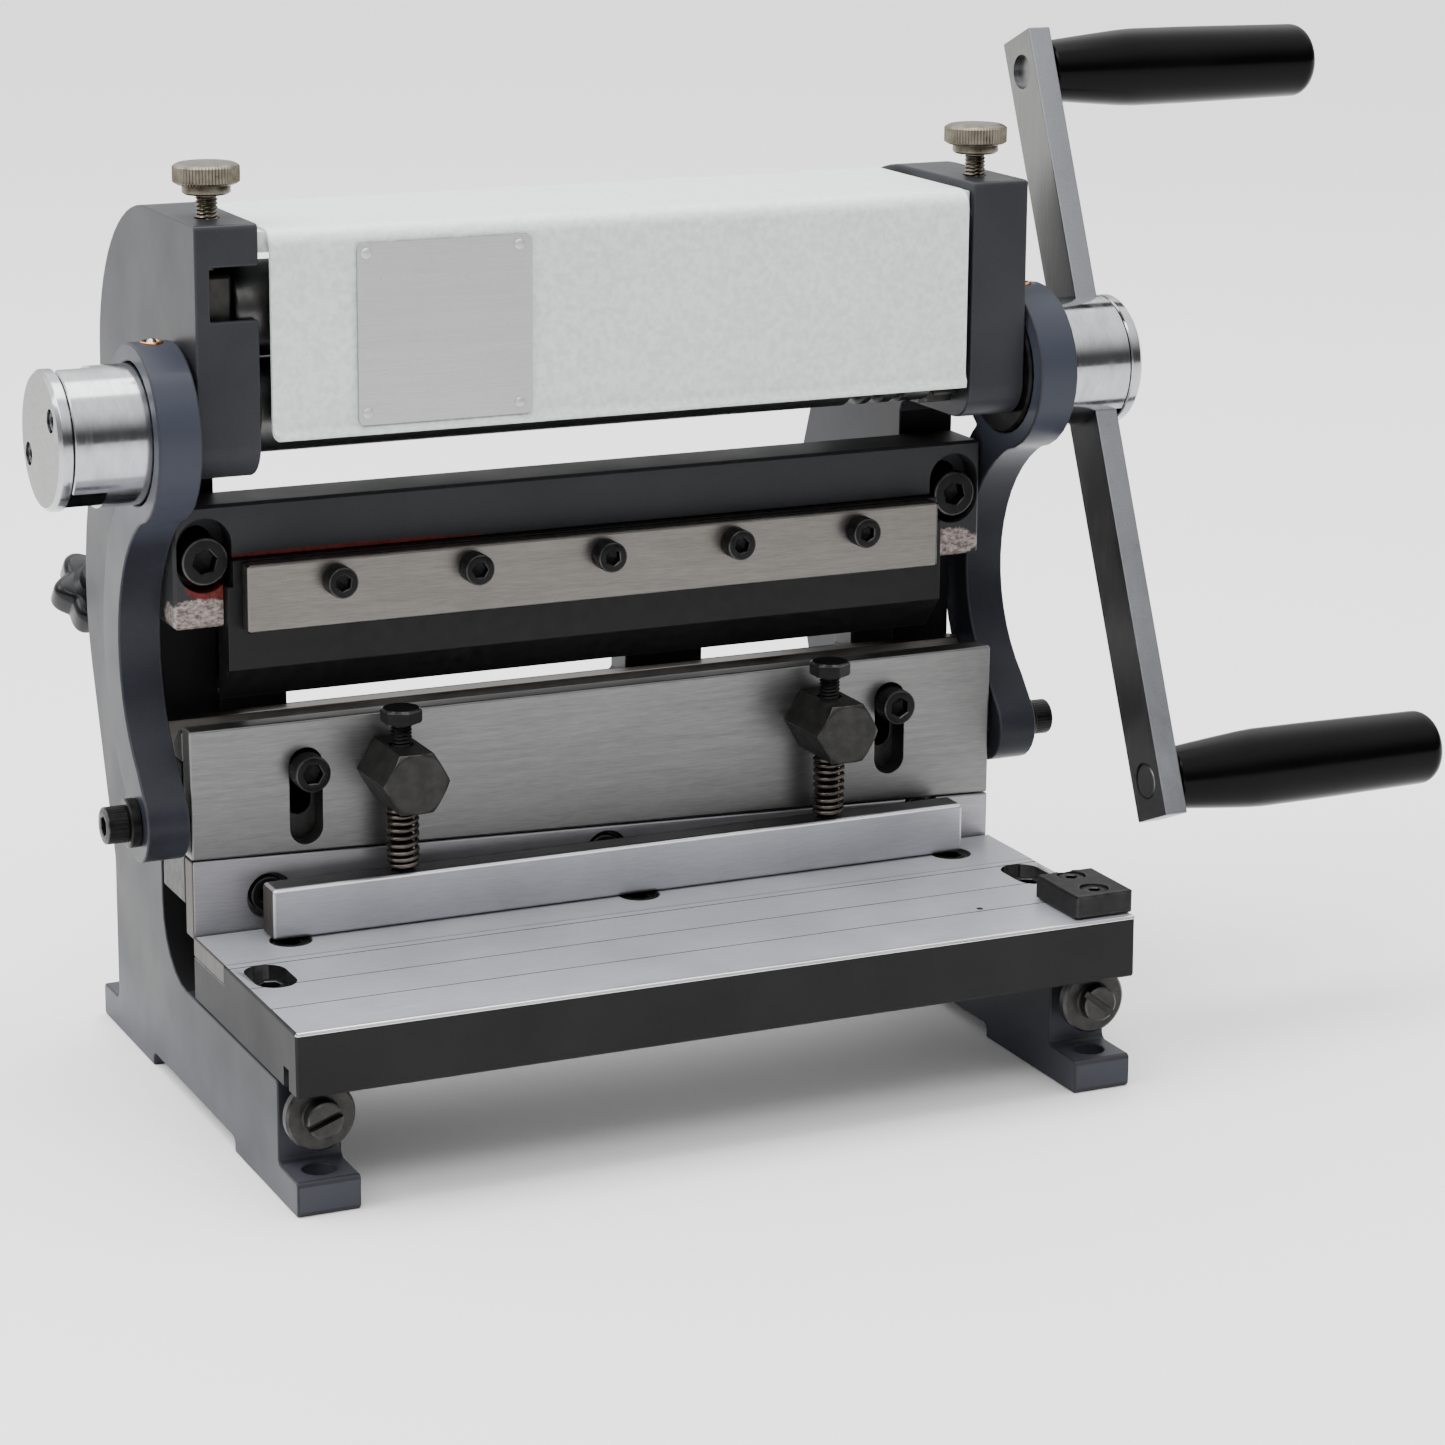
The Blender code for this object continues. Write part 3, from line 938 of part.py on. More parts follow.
def build_rolls():
    shoulder = GEAR_START - SEAT_GAP
    groove_start = shoulder - (len(WIRE_GROOVE_RADII) + 1) * WIRE_GROOVE_SPACING
    turned("crank_shaft", (0.0, CRANK_Y, CRANK_Z), (1, 0, 0),
           [(-SHAFT_END, JOURNAL_RADIUS - SCREW_EDGE), (-SHAFT_END + SCREW_EDGE, JOURNAL_RADIUS),
            (-ROLL_END, JOURNAL_RADIUS), (-ROLL_END, ROLL_RADIUS), *wire_grooves(groove_start),
            (shoulder, ROLL_RADIUS), (shoulder, JOURNAL_RADIUS), (SHAFT_END - SCREW_EDGE, JOURNAL_RADIUS),
            (SHAFT_END, JOURNAL_RADIUS - SCREW_EDGE)], GROUND_STEEL)
    build_gear("drive_gear", CRANK_Z, JOURNAL_RADIUS, math.pi / 2)
    upper_end = FRAME_INNER + UPPER_ROLL_REACH
    turned("upper_roll", (0.0, CRANK_Y, UPPER_ROLL_Z), (1, 0, 0),
           [(-JOURNAL_END, UPPER_JOURNAL_RADIUS), (-upper_end, UPPER_JOURNAL_RADIUS),
            (-upper_end, ROLL_RADIUS), (shoulder, ROLL_RADIUS), (shoulder, UPPER_JOURNAL_RADIUS),
            (JOURNAL_END, UPPER_JOURNAL_RADIUS)], GROUND_STEEL)
    build_gear("roll_gear", UPPER_ROLL_Z, UPPER_JOURNAL_RADIUS, -math.pi / 2 + math.pi / GEAR_TEETH)
    turned("rear_roll", (0.0, REAR_ROLL_Y, REAR_ROLL_Z), (1, 0, 0),
           [(-JOURNAL_END, REAR_JOURNAL_RADIUS), (-ROLL_END, REAR_JOURNAL_RADIUS), (-ROLL_END, ROLL_RADIUS),
            *wire_grooves(groove_start), (shoulder, ROLL_RADIUS), (shoulder, REAR_JOURNAL_RADIUS),
            (JOURNAL_END, REAR_JOURNAL_RADIUS)], GROUND_STEEL)
    for side, sign in SIDES:
        inner = sign * ((upper_end if sign < 0 else FRAME_INNER) + SEAT_GAP)
        outer = sign * JOURNAL_END
        low, high = sorted((inner, outer))
        half = PINCH_BLOCK_WIDTH / 2
        pinch = block(side + "_pinch_block", (low, CRANK_Y - half, UPPER_ROLL_Z - PINCH_BLOCK_HEIGHT / 2),
                      (high, CRANK_Y + half, UPPER_ROLL_Z + PINCH_BLOCK_HEIGHT / 2), DARK_STEEL)
        soften(pinch, BEAM_EDGE)
        combine(pinch, rod(side + "_pinch_bore", (low - OVERRUN, CRANK_Y, UPPER_ROLL_Z), (1, 0, 0),
                           UPPER_JOURNAL_RADIUS + SEAT_GAP, FRAME_THICKNESS + 2 * OVERRUN, DARK_STEEL))
        low, high = sorted((sign * (FRAME_INNER + SEAT_GAP), outer))
        rear = slanted_box(side + "_rear_block", (REAR_ROLL_Y, REAR_ROLL_Z), REAR_BLOCK_SIZE, REAR_BLOCK_SIZE,
                           low, high, DARK_STEEL)
        combine(rear, rod(side + "_rear_bore", (low - OVERRUN, REAR_ROLL_Y, REAR_ROLL_Z), (1, 0, 0),
                          REAR_JOURNAL_RADIUS + SEAT_GAP, FRAME_THICKNESS + 2 * OVERRUN, DARK_STEEL))


def build_thumb_screws():
    tip = UPPER_ROLL_Z + PINCH_BLOCK_HEIGHT / 2 + SEAT_GAP
    collar = FRAME_TOP + THUMB_RISE
    head = collar + THUMB_COLLAR_HEIGHT
    top = head + THUMB_HEAD_HEIGHT
    for side, sign in SIDES:
        turned(side + "_thumb_screw", (sign * FRAME_MID, CRANK_Y, 0.0), (0, 0, 1),
               [(tip, THUMB_STEM_RADIUS), (collar, THUMB_STEM_RADIUS),
                (collar, THUMB_COLLAR_RADIUS - SCREW_EDGE), (collar + SCREW_EDGE, THUMB_COLLAR_RADIUS),
                (head, THUMB_COLLAR_RADIUS),
                (head, THUMB_HEAD_RADIUS - THUMB_HEAD_EDGE), (head + THUMB_HEAD_EDGE, THUMB_HEAD_RADIUS),
                (top - THUMB_HEAD_EDGE, THUMB_HEAD_RADIUS), (top, THUMB_HEAD_RADIUS - 2 * THUMB_HEAD_EDGE)],
               NICKEL)


def build_knobs():
    down = Vector((0, math.cos(REAR_SLOPE), -math.sin(REAR_SLOPE)))
    start = REAR_BLOCK_SIZE / 2 + SEAT_GAP
    back = KNOB_REACH
    face = back - KNOB_NECK_LENGTH
    for side, sign in SIDES:
        base = Vector((sign * FRAME_MID, REAR_ROLL_Y, REAR_ROLL_Z))
        knob = turned(side + "_star_knob", base, down,
                      [(start, KNOB_SCREW_RADIUS), (face, KNOB_SCREW_RADIUS), (face, KNOB_NECK_RADIUS),
                       (back, KNOB_NECK_RADIUS), (back, KNOB_RADIUS - KNOB_EDGE),
                       (back + KNOB_EDGE, KNOB_RADIUS), (back + KNOB_THICKNESS - KNOB_EDGE, KNOB_RADIUS),
                       (back + KNOB_THICKNESS, KNOB_RADIUS - KNOB_EDGE)], GRIP_PLASTIC)
        lobe = math.pi * KNOB_RADIUS / KNOB_LOBES
        valley = lobe * KNOB_VALLEY_SHARE
        offset = KNOB_VALLEY_RADIUS + valley
        turn = down.to_track_quat("Z", "Y").to_matrix()
        for index in range(KNOB_LOBES):
            angle = 2 * math.pi * (index + 0.5) / KNOB_LOBES
            spot = base + turn @ Vector((offset * math.cos(angle), offset * math.sin(angle), back - SEAT_GAP))
            combine(knob, rod("%s_knob_valley_%d" % (side, index), spot, down, valley,
                              KNOB_THICKNESS + OVERRUN, GRIP_PLASTIC, sides=SMALL_ROUND // 2))


def cover_outline():
    """Bent sheet: lip, front, bend, top and a short lip behind."""
    quarter = math.pi / 2
    front_bend = (COVER_FRONT + COVER_BEND, COVER_TOP - COVER_BEND)
    back_bend = (COVER_BACK - COVER_BEND, COVER_TOP - COVER_BEND)
    lip_low = COVER_TOP - COVER_BACK_LIP
    outer = [(COVER_FRONT - COVER_LIP, COVER_BOTTOM), (COVER_FRONT, COVER_BOTTOM + COVER_LIP_RISE)]
    outer += arc(front_bend, COVER_BEND, math.pi, quarter, ARC_STEPS)
    outer += arc(back_bend, COVER_BEND, quarter, 0.0, ARC_STEPS)
    outer += [(COVER_BACK, lip_low), (COVER_BACK - COVER_SHEET, lip_low)]
    inner = arc(back_bend, COVER_BEND - COVER_SHEET, 0.0, quarter, ARC_STEPS)
    inner += arc(front_bend, COVER_BEND - COVER_SHEET, quarter, math.pi, ARC_STEPS)
    inner += [(COVER_FRONT + COVER_SHEET, COVER_BOTTOM + COVER_LIP_RISE),
              (COVER_FRONT + COVER_SHEET - COVER_LIP, COVER_BOTTOM)]
    return outer + inner


def build_cover():
    cover = prism("roll_cover", cover_outline(), -COVER_HALF_WIDTH, COVER_HALF_WIDTH, COVER_PAINT)
    for side, sign in SIDES:
        inner = sign * (COVER_HALF_WIDTH - COVER_TAB_THICKNESS)
        outer = sign * (FRAME_INNER - SEAT_GAP)
        low, high = sorted((inner, outer))
        front = COVER_FRONT + COVER_TAB_INSET
        tab = block(side + "_cover_tab", (low, front, COVER_TOP - COVER_TAB_HEIGHT),
                    (high, front + COVER_TAB_LENGTH, COVER_TOP - COVER_SHEET / 2), COVER_PAINT)
        combine(cover, tab, "UNION")
    back = COVER_FRONT - SEAT_GAP
    plate = block("name_plate", (PLATE_LEFT, back - PLATE_THICKNESS, PLATE_BOTTOM),
                  (PLATE_LEFT + PLATE_WIDTH, back, PLATE_BOTTOM + PLATE_HEIGHT), PLATE_METAL)
    return plate


def lever_box(name, half_width, low, high, near, far, look):
    """Box along the tilted lever: low and high are distances from the hub's centre."""
    cos_tilt = math.cos(LEVER_TILT)
    sin_tilt = math.sin(LEVER_TILT)
    outline = []
    for side, reach in ((-half_width, low), (half_width, low), (half_width, high), (-half_width, high)):
        outline.append((CRANK_Y + reach * sin_tilt - side * cos_tilt,
                        HUB_Z + reach * cos_tilt + side * sin_tilt))
    return prism(name, outline, min(near, far), max(near, far), look)


def lever_point(reach):
    return (CRANK_Y + reach * math.sin(LEVER_TILT), HUB_Z + reach * math.cos(LEVER_TILT))


def build_hubs():
    for side, sign in SIDES:
        inner = HALF_WIDTH + RUN_GAP
        hub = rod(side + "_hub", (sign * inner, CRANK_Y, HUB_Z), (sign, 0, 0), HUB_RADIUS, CAP_INNER - inner,
                  CHROME, edge=HUB_EDGE / 2, sides=HUB_ROUND)
        combine(hub, rod(side + "_hub_bore", (sign * (inner - OVERRUN), CRANK_Y, CRANK_Z), (sign, 0, 0),
                         JOURNAL_RADIUS + SEAT_GAP, SHAFT_END - inner + OVERRUN + SEAT_GAP, CHROME))
        combine(hub, lever_box(side + "_lever_slot", LEVER_WIDTH / 2 + SEAT_GAP, -2 * HUB_RADIUS,
                               2 * HUB_RADIUS, sign * SLOT_INNER, sign * HUB_END, CHROME))
        rod(side + "_hub_cap", (sign * (CAP_INNER + SEAT_GAP), CRANK_Y, HUB_Z), (sign, 0, 0), HUB_RADIUS,
            HUB_CAP - SEAT_GAP, CHROME, edge=HUB_EDGE, sides=HUB_ROUND)


def build_lever():
    near = LEVER_X - LEVER_THICKNESS / 2
    far = LEVER_X + LEVER_THICKNESS / 2
    bar = lever_box("crank_lever", LEVER_WIDTH / 2, -LEVER_DOWN - LEVER_TIP, LEVER_UP + LEVER_TIP, near, far,
                    WARM_STEEL)
    soften(bar, LEVER_EDGE)
    grip_start = far + GRIP_GAP
    for name, reach in (("upper_grip", LEVER_UP), ("lower_grip", -LEVER_DOWN)):
        y, z = lever_point(reach)
        bore_end = grip_start + GRIP_LENGTH - GRIP_END_WALL
        shoulder = grip_start - SEAT_GAP
        spindle = turned(name + "_spindle", (0.0, y, z), (1, 0, 0),
                         [(LEVER_X, SPINDLE_SHOULDER_RADIUS), (shoulder, SPINDLE_SHOULDER_RADIUS),
                          (shoulder, SPINDLE_RADIUS), (bore_end - SPINDLE_END_GAP, SPINDLE_RADIUS)],
                         WARM_STEEL, SMALL_ROUND)
        combine(bar, spindle, "UNION")
        round_off = arc((GRIP_LENGTH - GRIP_END_ROUND, GRIP_END_RADIUS - GRIP_END_ROUND), GRIP_END_ROUND,
                        math.pi / 2, 0.0, 4)
        waist = GRIP_LENGTH * GRIP_WAIST_SHARE
        grip = turned(name, (grip_start, y, z), (1, 0, 0),
                      [(0.0, GRIP_NECK_RADIUS - SCREW_EDGE), (SCREW_EDGE, GRIP_NECK_RADIUS),
                       (waist / 2, (GRIP_NECK_RADIUS + GRIP_WAIST_RADIUS) / 2 + SCREW_EDGE),
                       (waist, GRIP_WAIST_RADIUS), *round_off], GRIP_PLASTIC)
        combine(grip, rod(name + "_bore", (grip_start - OVERRUN, y, z), (1, 0, 0), SPINDLE_RADIUS + SEAT_GAP,
                          bore_end - grip_start + OVERRUN, GRIP_PLASTIC, sides=SMALL_ROUND))


def arm_outline():
    """Neck at the eye, then a band of even width that bows back on its way up to the ring."""
    low = Vector((ARM_EYE_Y + ARM_BOW_LOW_SETBACK, ARM_EYE_Z + ARM_BOW_LOW_RISE))
    high = Vector((CRANK_Y - ARM_BOW_TOP_ADVANCE, HUB_Z - ARM_BOW_TOP_DROP))
    chord = high - low
    radius = (chord.length ** 2 / 4 + ARM_BOW_SAG ** 2) / (2 * ARM_BOW_SAG)
    backward = Vector((chord.y, -chord.x)).normalized()
    centre = (low + high) / 2 + backward * (ARM_BOW_SAG - radius)
    start = math.atan2(low.y - centre.y, low.x - centre.x)
    end = math.atan2(high.y - centre.y, high.x - centre.x)
    outline = [(ARM_EYE_Y + ARM_EYE_RADIUS * math.cos(ARM_NECK_ANGLE),
                ARM_EYE_Z + ARM_EYE_RADIUS * math.sin(ARM_NECK_ANGLE))]
    outline += arc(centre, radius - ARM_WIDTH / 2, start, end, LONG_ARC_STEPS)
    outline += arc(centre, radius + ARM_WIDTH / 2, end, start, LONG_ARC_STEPS)
    return outline


def build_arms():
    for side, sign in SIDES:
        low, high = sorted((sign * ARM_INNER, sign * ARM_OUTER))
        arm = prism(side + "_arm", arm_outline(), low, high, CASTING)
        combine(arm, rod(side + "_arm_ring", (low, CRANK_Y, HUB_Z), (1, 0, 0), RING_RADIUS, high - low, CASTING,
                         sides=HUB_ROUND), "UNION")
        combine(arm, rod(side + "_arm_eye", (low, ARM_EYE_Y, ARM_EYE_Z), (1, 0, 0), ARM_EYE_RADIUS, high - low,
                         CASTING), "UNION")
        combine(arm, rod(side + "_ring_bore", (low - OVERRUN, CRANK_Y, HUB_Z), (1, 0, 0), HUB_RADIUS + RUN_GAP,
                         high - low + 2 * OVERRUN, CASTING, sides=HUB_ROUND))
        combine(arm, rod(side + "_eye_bore", (low - OVERRUN, ARM_EYE_Y, ARM_EYE_Z), (1, 0, 0),
                         M6_SOCKET[0] + SEAT_GAP, high - low + 2 * OVERRUN, CASTING, sides=SMALL_ROUND))
        start = ARM_OUTER + SEAT_GAP
        collar = turned(side + "_bolt_collar", (sign * start, ARM_EYE_Y, ARM_EYE_Z), (sign, 0, 0),
                        [(0.0, ARM_COLLAR_RADIUS - SCREW_EDGE), (SCREW_EDGE, ARM_COLLAR_RADIUS),
                         (ARM_COLLAR_LENGTH, ARM_COLLAR_RADIUS)], BLACK_OXIDE, SMALL_ROUND)
        seat = (sign * (start + ARM_COLLAR_LENGTH - SEAT_GAP), ARM_EYE_Y, ARM_EYE_Z)
        grip = ARM_COLLAR_LENGTH + ARM_THICKNESS
        bolt = socket_screw(side + "_arm_bolt", seat, (sign, 0, 0), M6_SOCKET, grip)
        combine(bolt, collar, "UNION")


def hang(name, place, pieces, carrier=MACHINE):
    """Put an empty on a joint's axis and hang from it the pieces that the joint moves."""
    pivot = bpy.data.objects.new(name, None)
    bpy.context.collection.objects.link(pivot)
    pivot.parent = carrier
    pivot["place"] = place
    pivot.location = Vector(place) - Vector(carrier.get("place", (0.0, 0.0, 0.0)))
    for piece in pieces:
        solid = bpy.data.objects[piece]
        solid.parent = pivot
        solid.location = -Vector(place)
    return pivot


def hang_moving_pieces():
    """Hinges hang at their axes; slides hang at the middle of what slides."""
    crank = hang("crank_turn", (0.0, CRANK_Y, CRANK_Z),
                 ["crank_shaft", "drive_gear", "left_hub", "right_hub", "left_hub_cap", "right_hub_cap",
                  "crank_lever"])
    for name, reach in (("upper", LEVER_UP), ("lower", -LEVER_DOWN)):
        hang(name + "_grip_spin", (LEVER_X, *lever_point(reach)), [name + "_grip"], crank)
    ram = hang("ram_slide", (0.0, RAM_BODY_FRONT, RAM_BODY_BOTTOM),
               ["ram_body", "ram_front_plate", "lower_die", "upper_shear_blade", "left_hex_post",
                "right_hex_post"])
    hang("hold_down_slide", ((BAR_LEFT + BAR_RIGHT) / 2, HOLD_Y, BAR_TOP),
         ["hold_down_bar", "left_hold_down_bolt", "right_hold_down_bolt", "left_hold_down_spring",
          "right_hold_down_spring"], ram)
    table = hang("table_slide", (0.0, TABLE_DEPTH, TABLE_TOP),
                 ["work_table", "lower_shear_blade", "stop_block"])
    pinch = hang("pinch_slide", (0.0, CRANK_Y, UPPER_ROLL_Z), ["left_pinch_block", "right_pinch_block"])
    hang("upper_roll_spin", (0.0, CRANK_Y, UPPER_ROLL_Z), ["upper_roll", "roll_gear"], pinch)
    rear = hang("rear_roll_lift", (0.0, REAR_ROLL_Y, REAR_ROLL_Z), ["left_rear_block", "right_rear_block"])
    hang("rear_roll_spin", (0.0, REAR_ROLL_Y, REAR_ROLL_Z), ["rear_roll"], rear)
    for side, sign in SIDES:
        middle = sign * FRAME_MID
        hang(side + "_arm_swing", (sign * ARM_INNER, CRANK_Y, HUB_Z), [side + "_arm", side + "_arm_bolt"],
             crank)
        hang(side + "_adjuster_turn", (middle, ADJUSTER_GROOVE_Y, ADJUSTER_Z), [side + "_table_adjuster"],
             table)
        hang(side + "_thumb_turn", (middle, CRANK_Y, FRAME_TOP), [side + "_thumb_screw"], pinch)
        hang(side + "_knob_turn", (middle, REAR_ROLL_Y, REAR_ROLL_Z), [side + "_star_knob"], rear)


def put_origin_under_box():
    """Move the machine so that its origin lies under the middle of its box."""
    bpy.context.view_layer.update()
    depsgraph = bpy.context.evaluated_depsgraph_get()
    places = []
    for solid in SOLIDS:
        shape = solid.evaluated_get(depsgraph)
        places += [solid.matrix_world @ corner.co for corner in shape.to_mesh().vertices]
        shape.to_mesh_clear()
    low = [min(place[i] for place in places) for i in range(3)]
    high = [max(place[i] for place in places) for i in range(3)]
    MACHINE.location = (-(low[0] + high[0]) / 2, -(low[1] + high[1]) / 2, -low[2])
    bpy.context.view_layer.update()


build_frames()
build_table()
build_ram()
build_hold_down()
build_beam()
build_rolls()
build_thumb_screws()
build_knobs()
build_cover()
build_hubs()
build_lever()
build_arms()
hang_moving_pieces()
put_origin_under_box()
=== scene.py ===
"""Looks of a bench-top combination sheet metal machine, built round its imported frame.

Metres, +Z up, +X to the operator's right, +Y away from the operator. Each piece takes its
place from the box of the node that it stands for or that carries it.
"""
import json
import math

import bmesh
import bpy
from mathutils import Matrix, Vector

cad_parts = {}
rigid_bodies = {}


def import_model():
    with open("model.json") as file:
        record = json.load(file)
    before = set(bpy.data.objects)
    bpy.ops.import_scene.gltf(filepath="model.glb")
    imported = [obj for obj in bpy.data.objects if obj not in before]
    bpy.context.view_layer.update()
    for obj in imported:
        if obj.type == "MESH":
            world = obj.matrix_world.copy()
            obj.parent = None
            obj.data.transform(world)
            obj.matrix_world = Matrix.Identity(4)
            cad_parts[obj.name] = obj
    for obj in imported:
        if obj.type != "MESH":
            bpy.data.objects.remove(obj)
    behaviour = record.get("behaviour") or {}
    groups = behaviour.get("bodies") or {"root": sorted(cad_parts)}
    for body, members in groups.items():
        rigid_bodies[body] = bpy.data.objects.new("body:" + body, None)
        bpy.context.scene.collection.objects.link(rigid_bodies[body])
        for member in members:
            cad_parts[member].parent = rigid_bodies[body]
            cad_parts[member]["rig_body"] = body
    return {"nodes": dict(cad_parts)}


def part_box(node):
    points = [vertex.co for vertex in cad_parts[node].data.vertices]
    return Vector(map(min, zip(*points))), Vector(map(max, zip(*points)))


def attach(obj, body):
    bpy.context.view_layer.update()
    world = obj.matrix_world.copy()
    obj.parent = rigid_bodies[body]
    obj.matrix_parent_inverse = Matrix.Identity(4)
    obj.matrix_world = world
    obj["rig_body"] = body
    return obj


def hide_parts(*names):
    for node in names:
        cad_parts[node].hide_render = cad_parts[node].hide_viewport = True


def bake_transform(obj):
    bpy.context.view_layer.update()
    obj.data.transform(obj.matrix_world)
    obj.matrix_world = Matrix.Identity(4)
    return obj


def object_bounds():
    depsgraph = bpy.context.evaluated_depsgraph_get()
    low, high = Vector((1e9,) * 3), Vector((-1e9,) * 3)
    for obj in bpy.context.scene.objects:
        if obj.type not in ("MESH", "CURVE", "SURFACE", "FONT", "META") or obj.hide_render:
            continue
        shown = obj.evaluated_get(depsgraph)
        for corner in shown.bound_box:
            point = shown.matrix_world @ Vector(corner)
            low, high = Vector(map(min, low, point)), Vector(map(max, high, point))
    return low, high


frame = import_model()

CAD_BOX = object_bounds()
MM = 0.001
FULL_TURN = 2 * math.pi
QUARTER = math.pi / 2
RIGHT = (1, 0, 0)
FRONT = (0, -1, 0)
BACK = (0, 1, 0)
UP = (0, 0, 1)
DOWN = (0, 0, -1)
SIDES = (("left", -1), ("right", 1))

# The machine's own frame: X zero midway between the end frames, Y zero at the table's front
MID_X = (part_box("left_end_frame")[0].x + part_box("right_end_frame")[1].x) / 2
FRONT_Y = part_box("work_table")[0].y

# Finish of edges, in order of size
FINE_EDGE = 0.25 * MM
STEEL_EDGE = 0.4 * MM
CAST_EDGE = 0.55 * MM
SHARP_ANGLE = math.radians(32.0)

# Points round a turned form, and how far a cutter starts outside the face that it cuts
ROUND = 108
OVER = 1 * MM

# Crank
LEVER_TILT = math.radians(22.9)
LEVER_HALF = 8 * MM
LEVER_INNER = 144.4 * MM
LEVER_OUTER = 151.4 * MM
LEVER_UP = 85.5 * MM
LEVER_DOWN = 121.3 * MM
LEVER_TIP = 10.8 * MM
HUB_Y = 84.5 * MM
HUB_Z = 186 * MM


def spot(x, y, z):
    """Point given in the machine's own frame."""
    return Vector((MID_X + x, FRONT_Y + y, z))


def mm(*lengths):
    """Lengths given in millimetres."""
    return tuple(length * MM for length in lengths)


def sized(pairs):
    """Pairs of lengths given in millimetres."""
    return [mm(*pair) for pair in pairs]


def measured(node):
    """A node's lowest corner, highest corner and middle."""
    low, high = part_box(node)
    return low, high, (low + high) / 2


def middle(node):
    return measured(node)[2]


def end_x(node, sign):
    """Place of a node's right end, or of its left end where sign is below zero."""
    low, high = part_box(node)
    return (high if sign > 0 else low).x


HUB_AXIS = spot(0.0, HUB_Y, HUB_Z)

# Materials

LOOKS = {}

# The range of a noise's usual values
USUAL = (0.3, 0.7)
# Painted light: heights over which the frames' paint turns lighter towards the floor
FOOT_PAINTED_LIGHT = mm(24, 12)
# Painted sheen: reach of the lighter, bluer paint round each hub
RING_PAINTED_SHEEN = (1.0, 26 * MM, 26 * MM)
# Cover paint: dark and light tones, mixed at random and by the pebbles as painted shade, and a bright tone
# as painted light along the top
COVER_SHADES = ((0.475, 0.53, 0.5), (0.625, 0.685, 0.65), (0.74, 0.79, 0.785))
# Painted light: depths below the cover's top over which the bright tone comes in
COVER_TOP_PAINTED_LIGHT = mm(4.5, 0.5)

# Worn patches of the beam: place from the left bolt and reach, in millimetres
PRIMER_PATCH = ((5, 0, -6), (10, 12, 7))
PRIMER_SEAM = ((38, 0, 0.4), (40, 8, 1.1))
SCRAPED_REACH = (10, 12, 4.6)
SCRAPED_DROP = -14.3


class Tree:
    """Shader nodes of a material or of the surroundings."""

    def __init__(self, owner):
        owner.use_nodes = True
        self.nodes = owner.node_tree.nodes
        self.links = owner.node_tree.links

    def feed(self, socket, value):
        if isinstance(value, bpy.types.NodeSocket):
            self.links.new(value, socket)
        else:
            socket.default_value = value

    def add(self, kind, feeds, **settings):
        """New node, whose inputs are fed by name or number with values or other nodes' outputs."""
        node = self.nodes.new("ShaderNode" + kind)
        for key, value in settings.items():
            setattr(node, key, value)
        for name, value in feeds.items():
            self.feed(node.inputs[name], value)
        return node

    def remap(self, source, low, high, to_low=0.0, to_high=1.0, curve="LINEAR"):
        feeds = {"Value": source, "From Min": low, "From Max": high, "To Min": to_low, "To Max": to_high}
        return self.add("MapRange", feeds, interpolation_type=curve).outputs["Result"]

    def math(self, operation, one, two):
        return self.add("Math", {0: one, 1: two}, operation=operation).outputs[0]

    def vector_math(self, operation, one, two=(0.0, 0.0, 0.0)):
        """Outputs of a vector operation, Vector and Value."""
        return self.add("VectorMath", {0: one, 1: two}, operation=operation).outputs


class Look(Tree):
    """One procedural material, whose colour, roughness and relief come from object space."""

    def __init__(self, name, roughness, metallic=0.0, specular=0.5):
        LOOKS[name] = bpy.data.materials.new(name)
        super().__init__(LOOKS[name])
        self.shader = self.nodes["Principled BSDF"]
        self.shader.inputs["Metallic"].default_value = metallic
        self.shader.inputs["Roughness"].default_value = roughness
        self.shader.inputs["Specular IOR Level"].default_value = specular
        self.place = self.add("TexCoord", {}).outputs["Object"]
        self.relief = None

    def noise(self, size, stretch=(1.0, 1.0, 1.0), detail=3.0, sharp=0.5):
        """Noise whose blotches are size metres across, drawn out where stretch is above one."""
        squeeze = tuple(1.0 / amount for amount in stretch)
        mapped = self.add("Mapping", {"Vector": self.place, "Scale": squeeze}).outputs["Vector"]
        feeds = {"Vector": mapped, "Scale": 1.0 / size, "Detail": detail, "Roughness": sharp}
        return self.add("TexNoise", feeds).outputs[0]

    def cells(self, size):
        feeds = {"Vector": self.place, "Scale": 1.0 / size, "Smoothness": 1.0}
        return self.add("TexVoronoi", feeds, feature="SMOOTH_F1").outputs["Distance"]

    def height(self):
        return self.add("SeparateXYZ", {"Vector": self.place}).outputs["Z"]

    def mix(self, share, one, two):
        made = self.add("Mix", {"Factor": share}, data_type="RGBA")
        colours = [socket for socket in made.inputs if socket.type == "RGBA"]
        for socket, value in zip(colours, (one, two)):
            self.feed(socket, value if isinstance(value, bpy.types.NodeSocket) else (*value, 1.0))
        return next(socket for socket in made.outputs if socket.type == "RGBA")

    def zone(self, centre, reach, soft):
        """One inside an ellipsoid and zero outside, with a soft border of that share."""
        moved = self.vector_math("SUBTRACT", self.place, tuple(centre))["Vector"]
        scaled = self.vector_math("DIVIDE", moved, tuple(reach))["Vector"]
        return self.remap(self.vector_math("LENGTH", scaled)["Value"], 1.0 + soft, 1.0 - soft)

    def colour(self, value):
        self.feed(self.shader.inputs["Base Color"], value)

    def colour_now(self):
        return self.shader.inputs["Base Color"].links[0].from_socket

    def rough(self, value):
        self.feed(self.shader.inputs["Roughness"], value)

    def bump(self, height, depth):
        """Relief of that depth in metres, added over what is there."""
        made = self.add("Bump", {"Height": height, "Distance": depth, "Strength": 1.0})
        if self.relief:
            self.links.new(self.relief, made.inputs["Normal"])
        self.relief = made.outputs["Normal"]
        self.links.new(self.relief, self.shader.inputs["Normal"])


